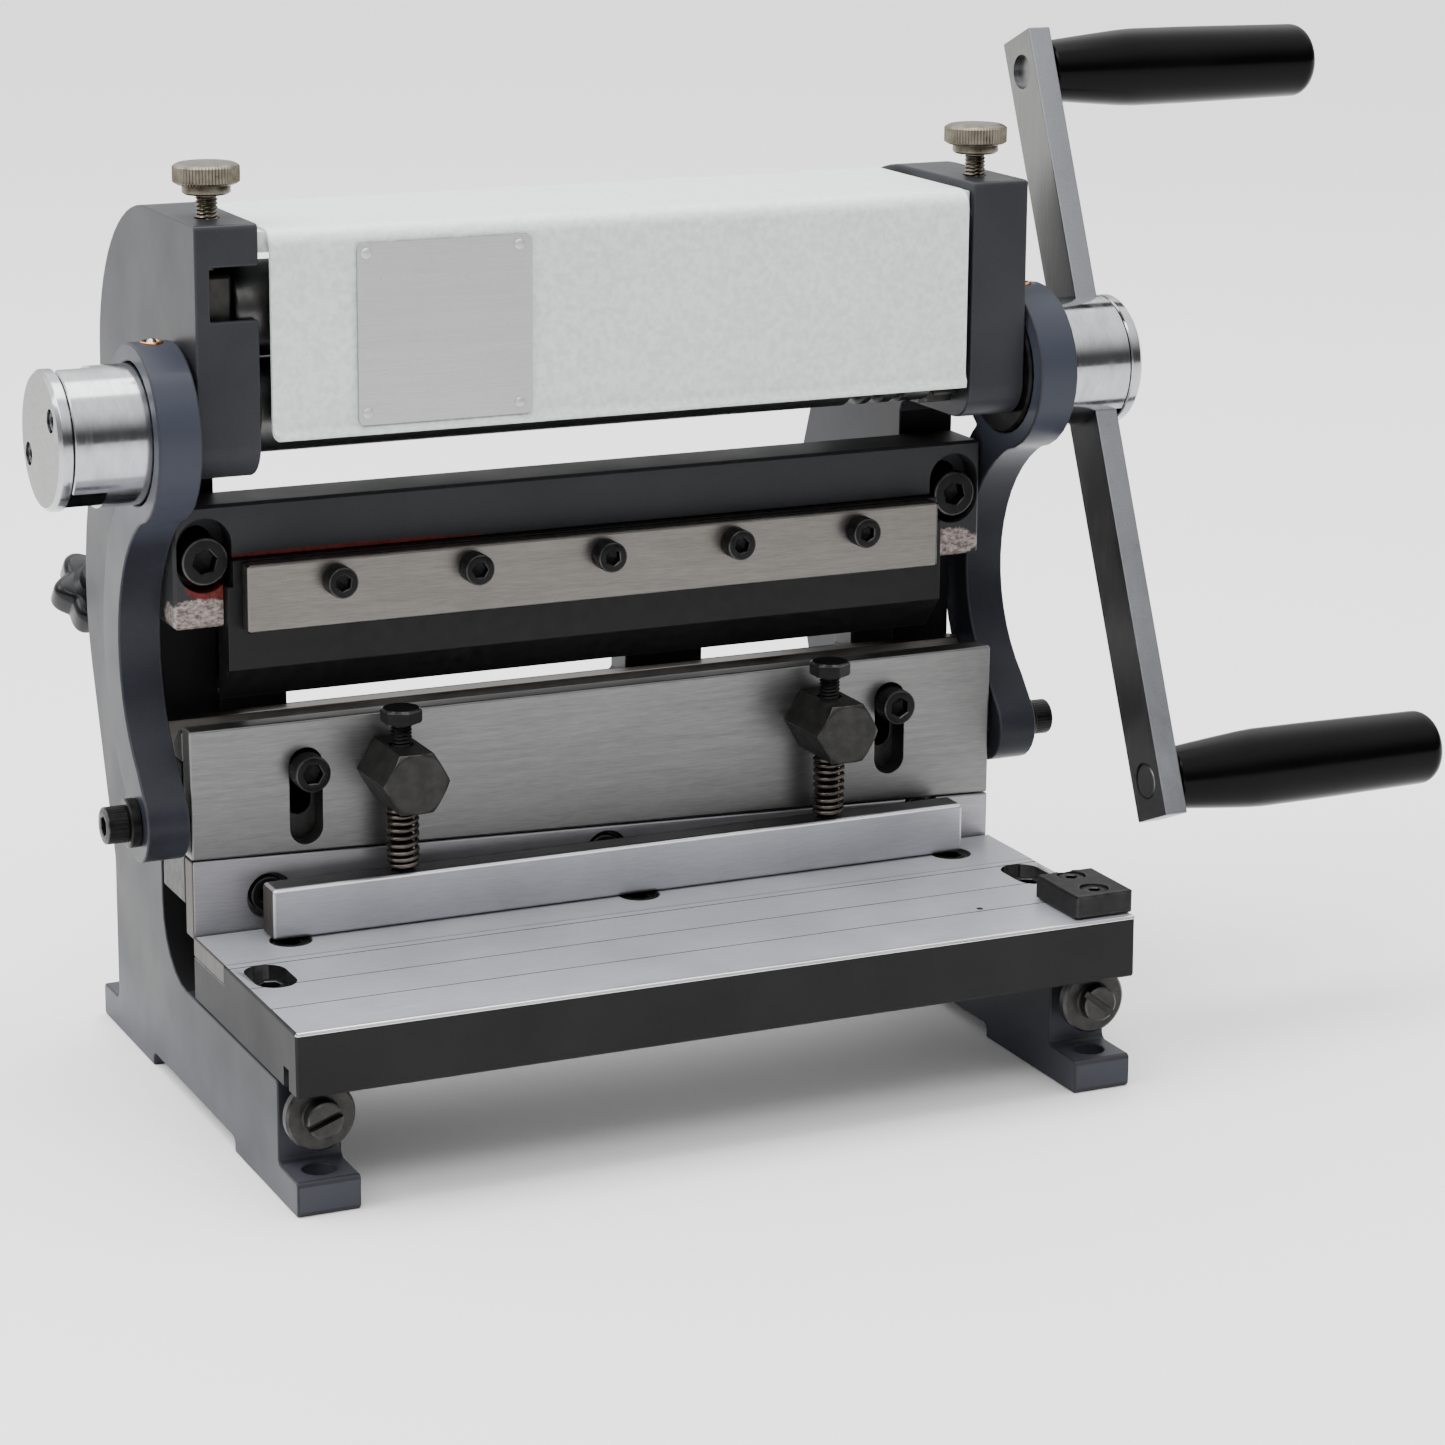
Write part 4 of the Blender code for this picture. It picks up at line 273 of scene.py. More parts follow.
def casting(name, dark, light, roughness=0.38, specular=0.13, low=None, rings=None):
    """Smooth sprayed paint, a little uneven; low is painted light that lightens it near the floor, rings a
    painted sheen round the hubs.
    """
    look = Look(name, roughness, specular=specular)
    cloud = look.noise(26 * MM, detail=4.0)
    fine = look.noise(0.5 * MM, detail=2.0)
    tone = look.math("ADD", cloud, look.remap(fine, *USUAL, -0.08, 0.08))
    paint = look.mix(look.remap(tone, *USUAL), dark, light)
    # Painted light: lighter paint near the floor
    if low:
        paint = look.mix(look.remap(look.height(), *FOOT_PAINTED_LIGHT), paint, low)
    # Painted sheen: lighter, bluer paint round the hubs
    if rings:
        paint = look.mix(look.zone(HUB_AXIS, RING_PAINTED_SHEEN, 0.25), paint, rings)
    look.colour(paint)
    look.rough(look.remap(cloud, *USUAL, roughness - 0.05, roughness + 0.07))
    look.bump(look.noise(14 * MM, detail=2.0), 0.08 * MM)
    look.bump(look.noise(1.1 * MM, detail=2.0), 0.01 * MM)
    return look


def steel(name, dark, light, roughness, grain_axis, draw=22.0, depth=0.003 * MM, metallic=1.0,
          cloud_size=30 * MM):
    """Ground steel whose grinding lines run along X, Y or Z, with stains and small pits."""
    look = Look(name, roughness, metallic)
    grain = 0.22 * MM
    stretch = [1.0, 1.0, 1.0]
    stretch["XYZ".index(grain_axis)] = draw
    lines = look.noise(grain, stretch)
    broad = look.noise(grain * 6, stretch, detail=2.0)
    cloud = look.noise(cloud_size, detail=5.0, sharp=0.6)
    pits = look.noise(0.35 * MM, detail=1.0)
    tone = look.math("ADD", look.remap(lines, 0.35, 0.65, 0.0, 0.42), look.remap(cloud, *USUAL, 0.04, 0.54))
    speck = look.remap(pits, 0.7, 0.78, 0.0, 0.55)
    look.colour(look.mix(speck, look.mix(tone, dark, light), tuple(channel * 0.35 for channel in dark)))
    look.rough(look.math("ADD", look.remap(cloud, *USUAL, roughness - 0.05, roughness + 0.05),
                         look.remap(broad, *USUAL, -0.04, 0.04)))
    look.bump(lines, depth)


def oxide(name, dark, light, roughness=0.42, metallic=0.55, specular=0.3):
    """Black oxide on steel, with paler rubbed spots."""
    look = Look(name, roughness, metallic, specular)
    cloud = look.noise(3.5 * MM, detail=4.0)
    fine = look.noise(0.25 * MM, detail=2.0)
    tone = look.math("ADD", cloud, look.remap(fine, *USUAL, -0.1, 0.1))
    look.colour(look.mix(look.remap(tone, 0.35, 0.75), dark, light))
    look.rough(look.remap(cloud, *USUAL, roughness - 0.08, roughness + 0.1))
    look.bump(fine, 0.003 * MM)


def cover_look(name, depth):
    """Pale sprayed paint with a pebbled skin of that depth, the pebbles' shading painted into its colour,
    and painted light brightest along the top.
    """
    look = Look(name, 0.4)
    dark, light, bright = COVER_SHADES
    blotch = look.noise(45 * MM)
    pebble = look.noise(1.7 * MM, detail=2.0)
    # Random blotches, and the pebbles as painted shade
    tone = look.math("ADD", look.remap(blotch, *USUAL, 0.0, 0.3), look.remap(pebble, 0.36, 0.64, 0.0, 0.7))
    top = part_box("roll_cover")[1].z
    # Painted light: the bright tone along the top
    rise = look.remap(look.height(), *(top - below for below in COVER_TOP_PAINTED_LIGHT))
    look.colour(look.mix(rise, look.mix(tone, dark, light), bright))
    look.rough(look.remap(pebble, *USUAL, 0.32, 0.46))
    look.bump(look.cells(3 * MM), 2.4 * depth)
    look.bump(pebble, 2.2 * depth)


def turned_metal(name, light, dark, rough, rougher):
    """Turned metal: fine rings round the X axis and a faint haze."""
    look = Look(name, rough, 1.0)
    rings = look.noise(0.35 * MM, (1.0, 40.0, 40.0), detail=2.0)
    haze = look.noise(4 * MM, (1.0, 2.5, 2.5), detail=6.0, sharp=0.7)
    look.colour(look.mix(look.remap(haze, 0.4, 0.75), light, dark))
    look.rough(look.math("ADD", look.remap(haze, 0.35, 0.75, rough, rougher),
                         look.remap(rings, *USUAL, 0.0, 0.06)))
    look.bump(rings, 0.0012 * MM)


def plastic(name, colour, roughness, specular):
    """Moulded plastic, a little paler where it is rubbed."""
    look = Look(name, roughness, specular=specular)
    rub = look.noise(9 * MM, (4.0, 1.0, 1.0), detail=5.0)
    look.colour(look.mix(look.remap(rub, 0.4, 0.8), colour, tuple(channel * 2.0 for channel in colour)))
    look.rough(look.remap(rub, 0.3, 0.8, roughness, roughness + 0.08))
    look.bump(look.noise(2.5 * MM, detail=2.0), 0.0015 * MM)


def beam_look():
    """Casting paint, red primer round the left bolt, and bare metal scraped below both bolts."""
    look = casting("beam", (0.02, 0.0205, 0.023), (0.029, 0.0295, 0.032), 0.46)
    bolt = middle("left_beam_bolt")
    bolt.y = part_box("upper_beam")[0].y
    grit = look.remap(look.noise(1.6 * MM, detail=5.0, sharp=0.65), 0.35, 0.6)
    ragged = look.math("SUBTRACT", look.noise(4 * MM, detail=5.0, sharp=0.7), 0.5)

    def patch(offset, reach):
        inside = look.zone(bolt + Vector(offset) * MM, Vector(reach) * MM, 0.3)
        border = look.math("ADD", inside, look.math("MULTIPLY", ragged, 1.3))
        return look.remap(border, 0.42, 0.58)

    red = look.mix(grit, (0.055, 0.009, 0.008), (0.13, 0.018, 0.015))
    primed = look.math("MAXIMUM", patch(*PRIMER_PATCH), patch(*PRIMER_SEAM))
    paint = look.mix(primed, look.colour_now(), red)
    scratches = look.noise(0.9 * MM, (1.6, 1.0, 1.0), detail=6.0, sharp=0.7)
    metal = look.mix(look.remap(scratches, 0.38, 0.66), (0.09, 0.065, 0.058), (0.36, 0.32, 0.3))
    across = 2 * (MID_X - bolt.x) / MM - 2
    scraped = look.math("MAXIMUM", *(patch((x, 2, SCRAPED_DROP), SCRAPED_REACH) for x in (-1, across)))
    look.colour(look.mix(scraped, paint, metal))


def floor_look():
    look = Look("floor", 0.85)
    look.colour(look.mix(look.noise(0.4), (0.9, 0.9, 0.9), (0.92, 0.92, 0.92)))


# Frames' paint, with painted light near the floor
casting("casting", (0.017, 0.0175, 0.0205), (0.026, 0.0268, 0.0305), low=(0.04, 0.042, 0.052))
# Arms' paint, with a painted sheen round the hubs
casting("arm", (0.012, 0.013, 0.017), (0.019, 0.0205, 0.027), 0.33, rings=(0.042, 0.047, 0.064))
# Lighter paint on the castings' rounded edges: partly worn paint, partly painted highlight
casting("casting_edge", (0.021, 0.0215, 0.0255), (0.033, 0.034, 0.039), 0.36)
# Painted shade: dull near-black paint for the columns' fronts behind the ram
casting("shade", (0.005, 0.005, 0.0055), (0.009, 0.009, 0.01), 0.55, 0.08)
beam_look()
cover_look("cover", 0.1 * MM)
cover_look("cover_edge", 0.01 * MM)
casting("table_paint", (0.009, 0.009, 0.0094), (0.014, 0.0138, 0.0146), 0.46, 0.1)
steel("table_top", (0.3, 0.305, 0.335), (0.42, 0.425, 0.46), 0.42, "X", metallic=0.35)
# Painted shade for the table's scored lines and the walls of its long holes
oxide("groove", (0.01, 0.01, 0.01), (0.03, 0.03, 0.03), 0.6)
steel("ground", (0.33, 0.33, 0.358), (0.45, 0.45, 0.482), 0.38, "X", metallic=0.7)
steel("blade", (0.225, 0.224, 0.238), (0.325, 0.322, 0.34), 0.4, "X", metallic=0.8)
steel("bar_end", (0.035, 0.03, 0.028), (0.07, 0.06, 0.055), 0.5, "Z", metallic=0.6)
# Painted highlight for the front upper edges of the table and the hold-down bar
steel("bright_edge", (0.66, 0.66, 0.68), (0.76, 0.76, 0.78), 0.34, "X", depth=0.0005 * MM)
steel("rivet", (0.4, 0.4, 0.41), (0.52, 0.52, 0.53), 0.46, "X", metallic=0.6)
steel("warm", (0.1, 0.094, 0.087), (0.165, 0.155, 0.144), 0.38, "X", cloud_size=22 * MM)
steel("ram", (0.12, 0.12, 0.119), (0.192, 0.191, 0.189), 0.4, "X", cloud_size=34 * MM)
steel("lever", (0.125, 0.125, 0.121), (0.205, 0.204, 0.2), 0.34, "Z", draw=40.0)
# Painted highlight: a lighter, bluer copy of the lever's steel
steel("lever_edge", (0.22, 0.226, 0.245), (0.32, 0.328, 0.35), 0.32, "Z", draw=40.0)
turned_metal("roll", (0.085, 0.085, 0.085), (0.06, 0.058, 0.056), 0.26, 0.36)
turned_metal("chrome", (0.39, 0.395, 0.41), (0.285, 0.29, 0.3), 0.08, 0.2)
steel("cap_face", (0.22, 0.22, 0.216), (0.275, 0.275, 0.27), 0.42, "Y", draw=3.0)
oxide("oxide", (0.004, 0.004, 0.0042), (0.012, 0.012, 0.0125), specular=0.2)
oxide("block", (0.013, 0.0125, 0.0128), (0.026, 0.025, 0.0255), 0.55, 0.2, 0.12)
# Paler oxide on edges of screws, posts and adjusters: partly wear, partly painted highlight
oxide("oxide_edge", (0.03, 0.03, 0.031), (0.08, 0.08, 0.082), 0.34, 0.8)
oxide("punch", (0.004, 0.004, 0.0045), (0.008, 0.008, 0.009), 0.42, 0.15, 0.2)
oxide("dark", (0.02, 0.0195, 0.019), (0.046, 0.044, 0.042), 0.44, 0.75)
oxide("spring", (0.06, 0.05, 0.042), (0.17, 0.15, 0.13), 0.32, 1.0)
oxide("nickel", (0.095, 0.08, 0.056), (0.22, 0.2, 0.165), 0.3, 1.0)
oxide("brass", (0.42, 0.17, 0.05), (0.75, 0.42, 0.16), 0.25, 1.0)
plastic("grip", (0.0012, 0.0012, 0.0014), 0.16, 0.07)
plastic("knob", (0.003, 0.0032, 0.0042), 0.22, 0.2)
steel("plate", (0.34, 0.333, 0.336), (0.43, 0.42, 0.425), 0.36, "X", draw=80.0, metallic=0.8)
floor_look()
SCREW = "oxide oxide_edge"


# Shapes


def arc(centre, radius, start, end, steps):
    return [(centre[0] + radius * math.cos(start + (end - start) * i / steps),
             centre[1] + radius * math.sin(start + (end - start) * i / steps)) for i in range(steps + 1)]


def ring(reach, height, count=ROUND):
    """Closed ring of points round +Z; reach is a radius or a function of the angle."""
    points = []
    for step in range(count):
        angle = FULL_TURN * step / count
        radius = reach(angle) if callable(reach) else reach
        points.append((radius * math.cos(angle), radius * math.sin(angle), height))
    return points


def loft(bm, rings, looks=None):
    """Skin through rings of equal count, closed by flat ends; looks gives each band's material index."""
    rows = [[bm.verts.new(point) for point in points] for points in rings]
    bm.faces.new(list(reversed(rows[0])))
    bm.faces.new(rows[-1])
    for band, (low, high) in enumerate(zip(rows, rows[1:])):
        for step in range(len(low)):
            after = (step + 1) % len(low)
            face = bm.faces.new((low[step], low[after], high[after], high[step]))
            face.material_index = looks[band] if looks else 0


def stack(bm, profile, count=ROUND, looks=None):
    """Loft through rings round +Z, given as (distance, reach) pairs."""
    loft(bm, [ring(reach, distance, count) for distance, reach in profile], looks)


def turned(profile, count=ROUND, looks=None):
    """Solid of revolution round +Z from (distance, radius) pairs."""
    bm = bmesh.new()
    stack(bm, profile, count, looks)
    return bm


def hexagon_reach(flats):
    """Distance from a hexagon's middle to its side as a function of the angle."""
    sector = math.pi / 3
    return lambda angle: flats / 2 / math.cos((angle + sector / 2) % sector - sector / 2)


def standing(base, direction, turn=0.0):
    """Matrix that stands a shape drawn along +Z on base, pointing along direction."""
    along = Vector(direction).normalized()
    return (Matrix.Translation(base) @ along.to_track_quat("Z", "Y").to_matrix().to_4x4()
            @ Matrix.Rotation(turn, 4, "Z"))


def stood(bm, base, direction):
    """The shape, drawn along +Z, moved to stand on base along direction."""
    bm.transform(standing(base, direction))
    return bm


def box_mesh(low, high):
    bm = bmesh.new()
    bmesh.ops.create_cube(bm, size=1.0)
    place = Matrix.LocRotScale((Vector(low) + Vector(high)) / 2, None, Vector(high) - Vector(low))
    bmesh.ops.transform(bm, matrix=place, verts=bm.verts)
    return bm


def extruded(outline, low, high, place):
    """Solid between two copies of an outline; place turns (u, v, depth) into a point."""
    bm = bmesh.new()
    loft(bm, [[place(u, v, depth) for u, v in outline] for depth in (low, high)])
    return bm


def shaped(name, bm, looks=""):
    """Object with smooth faces made of a bmesh, which is used up."""
    mesh = bpy.data.meshes.new(name)
    bm.to_mesh(mesh)
    bm.free()
    mesh.shade_smooth()
    for look in looks.split():
        mesh.materials.append(LOOKS[look])
    solid = bpy.data.objects.new(name, mesh)
    bpy.context.collection.objects.link(solid)
    return solid


def temporary(bm):
    bmesh.ops.recalc_face_normals(bm, faces=bm.faces)
    return shaped("temporary", bm)


def settled(solid):
    """Bmesh of a temporary object with its modifiers applied; the object goes."""
    bpy.context.view_layer.update()
    shape = solid.evaluated_get(bpy.context.evaluated_depsgraph_get())
    bm = bmesh.new()
    bm.from_mesh(shape.to_mesh())
    shape.to_mesh_clear()
    bpy.data.objects.remove(solid, do_unlink=True)
    return bm


def carved(bm, cutters, operation="DIFFERENCE"):
    """The shape after exact Boolean steps with the cutters' shapes, which are used up."""
    solid = temporary(bm)
    tools = [temporary(cutter) for cutter in cutters]
    for tool in tools:
        step = solid.modifiers.new("cut", "BOOLEAN")
        step.operation = operation
        step.solver = "EXACT"
        step.object = tool
        step.material_mode = "INDEX"
    made = settled(solid)
    for tool in tools:
        bpy.data.objects.remove(tool, do_unlink=True)
    return made


def joined(first, *others):
    """The first bmesh with the faces of the others, which are used up."""
    for other in others:
        mesh = bpy.data.meshes.new("joined")
        other.to_mesh(mesh)
        other.free()
        first.from_mesh(mesh)
        bpy.data.meshes.remove(mesh)
    return first


def packed_shape(node):
    """The node's own shape with its facets joined into whole faces."""
    bm = bmesh.new()
    bm.from_mesh(frame["nodes"][node].data)
    bmesh.ops.remove_doubles(bm, verts=bm.verts, dist=0.01 * MM)
    bmesh.ops.dissolve_limit(bm, angle_limit=math.radians(0.6), verts=bm.verts, edges=bm.edges)
    for face in bm.faces:
        face.material_index = 0
    return bm


def round_edges(bm, width, segments=2, look=0, chosen=None):
    """Round the sharp edges, or those of them that chosen accepts."""
    edges = []
    for edge in bm.edges:
        if len(edge.link_faces) == 2 and edge.calc_face_angle() > SHARP_ANGLE:
            if chosen is None or chosen((edge.verts[0].co + edge.verts[1].co) / 2, edge):
                edges.append(edge)
    bmesh.ops.bevel(bm, geom=edges, offset=width, segments=segments, profile=0.5, affect="EDGES",
                    clamp_overlap=False, material=look, miter_outer="ARC")


def make(name, bm, looks, carrier, stands_for=(), place=None):
    """Turn a bmesh into a piece that rides the carrier node's body and has its material slot."""
    if place is not None:
        bm.transform(place)
    bmesh.ops.recalc_face_normals(bm, faces=bm.faces)
    piece = shaped(name, bm, looks)
    piece.data.set_sharp_from_angle(angle=SHARP_ANGLE)
    normals = piece.modifiers.new("normals", "WEIGHTED_NORMAL")
    normals.keep_sharp = True
    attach(piece, frame["nodes"][carrier]["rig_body"])
    if stands_for:
        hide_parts(*stands_for)


def stand_in(node, bm, looks, place=None):
    """Piece that stands for a node."""
    make(node + "_form", bm, looks, node, (node,), place)


def refine(node, looks, edge, segments=2, cutters=(), chosen=None, zones=None):
    """Stand for a node with its own shape, cut, rounded and finished further."""
    bm = packed_shape(node)
    if cutters:
        bm = carved(bm, cutters)
    round_edges(bm, edge, segments, 1 if " " in looks else 0, chosen)
    if zones:
        bm.normal_update()
        for face in bm.faces:
            face.material_index = zones(face)
    stand_in(node, bm, looks)


SLOT_SPARE = 0.12 * MM


def slot_cutter(centre, size, upright):
    """Cutter for a long hole with round ends; size is its width, length and depth.

    An upright hole's length runs along Z and it goes in backwards, any other's along Y and down.
    """
    width, length, depth = size
    straight = (length - width) / 2
    radius = width / 2 + SLOT_SPARE
    outline = arc((0.0, straight), radius, 0.0, math.pi, 32)
    outline += arc((0.0, -straight), radius, math.pi, FULL_TURN, 32)
    if upright:
        return extruded(outline, -OVER, depth, lambda u, v, d: (centre.x + u, centre.y + d, centre.z + v))
    return extruded(outline, -OVER, depth, lambda u, v, d: (centre.x + u, centre.y + v, centre.z - d))


def bore(base, direction, radius, depth):
    """Cutter for a flat-bottomed hole, drawn from just outside the face inwards."""
    return stood(turned([(-OVER, radius), (depth, radius)], 64), base, direction)


# Castings

# A face whose normal leans less than STEEP along an axis runs along it, more than LEVEL faces it
STEEP = 0.3
LEVEL = 0.98
COLUMN_Y = (FRONT_Y + 88 * MM, FRONT_Y + 112 * MM)
COLUMN_Z = mm(31, 150)
BEAM_LOW, BEAM_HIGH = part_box("upper_beam")
BEAM_SLOT = mm(15, 20, 7.5)
BEAM_RISE = 1.5 * MM


def frame_zones(face):
    """The columns' fronts, behind the ram, get dull near-black paint as painted shade."""
    centre = face.calc_center_median()
    in_column = COLUMN_Y[0] < centre.y < COLUMN_Y[1] and COLUMN_Z[0] < centre.z < COLUMN_Z[1]
    return 2 if in_column and abs(face.normal.x) < STEEP else face.material_index


def beam_top_edge(point, edge):
    return point.z > BEAM_HIGH.z - 0.1 * MM


for side, sign in SIDES:
    refine(side + "_end_frame", "casting casting_edge shade", CAST_EDGE, 3, zones=frame_zones)
refine("rear_tie_beam", "casting", FINE_EDGE)
beam_slots = []
for side, sign in SIDES:
    centre = middle(side + "_beam_bolt")
    centre = Vector((centre.x, BEAM_LOW.y, centre.z + BEAM_RISE))
    beam_slots.append(slot_cutter(centre, BEAM_SLOT, True))
refine("upper_beam", "beam", STEEL_EDGE, 2, beam_slots, beam_top_edge)
for side, sign in SIDES:
    refine(side + "_arm", "arm casting_edge", CAST_EDGE, 3)

# Ribs on the frames' inner sides, behind the punch's ends, in black oxide as painted shade for the dark gap
# there
RIB_ROOT = 0.5 * MM
RIB_REACH = 8.5 * MM
RIB_Y = mm(111.5, 117)
RIB_Z = mm(108.6, 160)
for side, sign in SIDES:
    inner = end_x(side + "_end_frame", -sign)
    near, far = sorted((inner + sign * RIB_ROOT, inner - sign * RIB_REACH))
    shaded_rib = box_mesh((near, FRONT_Y + RIB_Y[0], RIB_Z[0]), (far, FRONT_Y + RIB_Y[1], RIB_Z[1]))
    round_edges(shaded_rib, CAST_EDGE)
    make(side + "_painted_shade_rib", shaded_rib, "oxide", side + "_end_frame")

# Work table, with three scored lines, two long holes and a pin

TABLE_LOW, TABLE_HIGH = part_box("work_table")
GROOVE_PLACES = mm(54, 37, 20)
GROOVE_HALF = 0.22 * MM
GROOVE_DEPTH = 0.35 * MM
TABLE_SLOT = mm(11, 19, 8.5)
WALL_DEPTH = 9 * MM
WALLS_BACK = FRONT_Y + 66 * MM
BRIGHT_DEPTH = 6 * MM
PIN_PROFILE = sized(((-1, 0.9), (0.06, 0.9), (0.1, 0.7)))
PIN_PLACE = spot(84 * MM, 22 * MM, TABLE_HIGH.z)


def table_zones(face):
    """Bright level faces, a painted highlight on the front edge, painted shade in the grooves and hole
    walls, and sides in casting paint.
    """
    if face.material_index == 1:
        return 1
    centre = face.calc_center_median()
    inside = TABLE_LOW.x + STEEL_EDGE < centre.x < TABLE_HIGH.x - STEEL_EDGE
    inside = inside and TABLE_LOW.y + STEEL_EDGE < centre.y < WALLS_BACK
    if inside and abs(face.normal.z) < STEEP and centre.z > TABLE_HIGH.z - WALL_DEPTH:
        return 3
    if centre.z < TABLE_HIGH.z - BRIGHT_DEPTH or face.normal.z < STEEP:
        return 2
    return 0 if face.normal.z > LEVEL else 3


def groove_cutter(y):
    """Long wedge that scores a fine line along the table."""
    outline = [(-2 * GROOVE_HALF, GROOVE_DEPTH), (0.0, -GROOVE_DEPTH),
               (2 * GROOVE_HALF, GROOVE_DEPTH)]
    middle_y = FRONT_Y + y
    return extruded(outline, TABLE_LOW.x - OVER, TABLE_HIGH.x + OVER,
                    lambda u, v, depth: (depth, middle_y + u, TABLE_HIGH.z + v))


def front_top_edge(point, edge):
    """The long edge between the table's top and its front face."""
    return point.y < TABLE_LOW.y + 1 * MM and point.z > TABLE_HIGH.z - 1 * MM


table_cutters = [groove_cutter(y) for y in GROOVE_PLACES]
for side, sign in SIDES:
    centre = middle(side + "_table_bolt")
    centre.z = TABLE_HIGH.z
    table_cutters.append(slot_cutter(centre, TABLE_SLOT, False))
refine("work_table", "table_top bright_edge table_paint groove", STEEL_EDGE, 2,
       table_cutters, front_top_edge, table_zones)
make("table_pin", turned(PIN_PROFILE, 24), "oxide", "work_table", (), Matrix.Translation(PIN_PLACE))

# Blades, ram plate and the other plain pieces of steel

# Screws of each blade: places along X, then the bores' radius and depth
LOWER_SCREWS_X = mm(-97, 4, 101)
LOWER_SCREW_Y = 70.5 * MM
LOWER_BORE = mm(5.6, 3.6)
UPPER_SCREWS_X = (-98 * MM, 0.0, 98 * MM)
UPPER_SCREW_Z = 57.6 * MM
UPPER_BORE = mm(6.5, 4.6)
GUIDE_SLOT = mm(9, 26.4, 9)
GUIDE_SLOT_Z = 84.2 * MM

blade_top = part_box("lower_shear_blade")[1].z
blade_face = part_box("upper_shear_blade")[0].y
lower_seats = [spot(x, LOWER_SCREW_Y, blade_top) for x in LOWER_SCREWS_X]
upper_seats = [Vector((MID_X + x, blade_face, UPPER_SCREW_Z)) for x in UPPER_SCREWS_X]


def at_end(face, node):
    """Whether a face belongs to the left or the right end of a long node."""
    low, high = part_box(node)
    place = face.calc_center_median().x
    return min(place - low.x, high.x - place) < 0.9 * STEEL_EDGE


def blade_zones(face):
    """Ground sides, a top as bright as the table's, and dull ends."""
    if at_end(face, "lower_shear_blade") or at_end(face, "upper_shear_blade"):
        return 2
    return 1 if face.normal.z > LEVEL else 0


def bar_zones(face):
    """Ground front, a painted highlight on its upper edge, a duller top, and sawn ends."""
    if at_end(face, "hold_down_bar"):
        return 2
    if face.material_index == 1:
        return 1 if face.normal.z > STEEP and face.normal.y < -STEEP else 0
    return 3 if face.normal.z > LEVEL else 0


lower_bores = [bore(seat, DOWN, *LOWER_BORE) for seat in lower_seats]
upper_bores = [bore(seat, BACK, *UPPER_BORE) for seat in upper_seats]
refine("lower_shear_blade", "blade table_top bar_end", FINE_EDGE, 2, lower_bores, zones=blade_zones)
refine("upper_shear_blade", "blade blade bar_end", FINE_EDGE, 2, upper_bores, zones=blade_zones)
guide_slots = []
for side, sign in SIDES:
    centre = Vector((middle(side + "_guide_screw").x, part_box("ram_front_plate")[0].y, GUIDE_SLOT_Z))
    guide_slots.append(slot_cutter(centre, GUIDE_SLOT, True))
refine("ram_front_plate", "ram", FINE_EDGE, 2, guide_slots)
refine("hold_down_bar", "ground bright_edge bar_end ram", STEEL_EDGE, zones=bar_zones)
refine("clamp_strip", "warm", STEEL_EDGE)
refine("ram_body", "dark", STEEL_EDGE)
refine("lower_die", "warm", FINE_EDGE)
refine("brake_punch", "punch", FINE_EDGE)
refine("stop_block", "block dark", STEEL_EDGE)
for side, sign in SIDES:
    refine(side + "_pinch_block", "dark", FINE_EDGE)
    refine(side + "_rear_block", "dark", FINE_EDGE)
for node in ("drive_gear", "roll_gear"):
    refine(node, "dark", 0.15 * MM, 1)


# Screws

# Cap screws: head height and key flats, told apart by the head's radius
SCREW_KINDS = (mm(4.6, 5, 4),
               mm(5.6, 6, 5),
               mm(7.2, 8, 6))
KNURL_TEETH = 36
KNURL_DEPTH = 0.05 * MM
KEY_CHAMFER = 0.25 * MM
KEY_TURN = math.radians(37.0)
SHANK_SHARE = 0.55
SHANK_LENGTH = 2 * MM
DRILL_TIP = 0.3 * MM

# Screws: head radius (not given for the blades), head height, key flats and shank radius
ARM_SCREW = (5 * MM, 6 * MM, 5 * MM, SHANK_SHARE * 5 * MM)
BLADE_SCREW = mm(3, 5, 2)
STOP_SCREW = mm(3.7, 3.6, 3, 2)
CAP_SCREW = mm(2.75, 2.4, 2.5, 1.5)
COLLAR_LENGTH = 3 * MM
COLLAR_RADIUS = 6.6 * MM
STOP_INSETS = mm(5.7, 18.2)
STOP_DROP = 4.15 * MM


def socket_head(radius, height, key, shank):
    """Cap screw from its seat up: knurled side, chamfered rim, key socket, and a short shank below."""
    rim = 0.1 * radius
    deep = 0.5 * height
    side = lambda angle: radius - KNURL_DEPTH * (1 - math.cos(KNURL_TEETH * angle))
    key_reach = hexagon_reach(key)
    mouth = lambda angle: key_reach(angle) + KEY_CHAMFER
    profile = [(-SHANK_LENGTH, shank), (0.0, shank), (0.0, radius - FINE_EDGE), (FINE_EDGE, side),
               (height - rim, side), (height - 0.35 * rim, radius - 0.35 * rim), (height, radius - rim),
               (height, mouth), (height - KEY_CHAMFER, key_reach), (deep, key_reach),
               (deep - 0.12 * key, DRILL_TIP)]
    return turned(profile, ROUND, [0, 0, 0, 0, 1, 1, 0, 1, 0, 0])


def cap_screw(node, direction):
    """Stand for a cap screw whose head's outer face is the end of its box that direction points to."""
    low, high, base = measured(node)
    axis = next(i for i in range(3) if direction[i])
    across = (axis + 1) % 3
    radius = (high[across] - low[across]) / 2
    height, key = next((height, key) for reach, height, key in SCREW_KINDS if radius < reach)
    base[axis] = (high if direction[axis] > 0 else low)[axis] - direction[axis] * height
    turn = KEY_TURN * (sum(ord(letter) for letter in node) % 7)
    head = socket_head(radius, height, key, SHANK_SHARE * radius)
    stand_in(node, head, SCREW, standing(base, direction, turn))


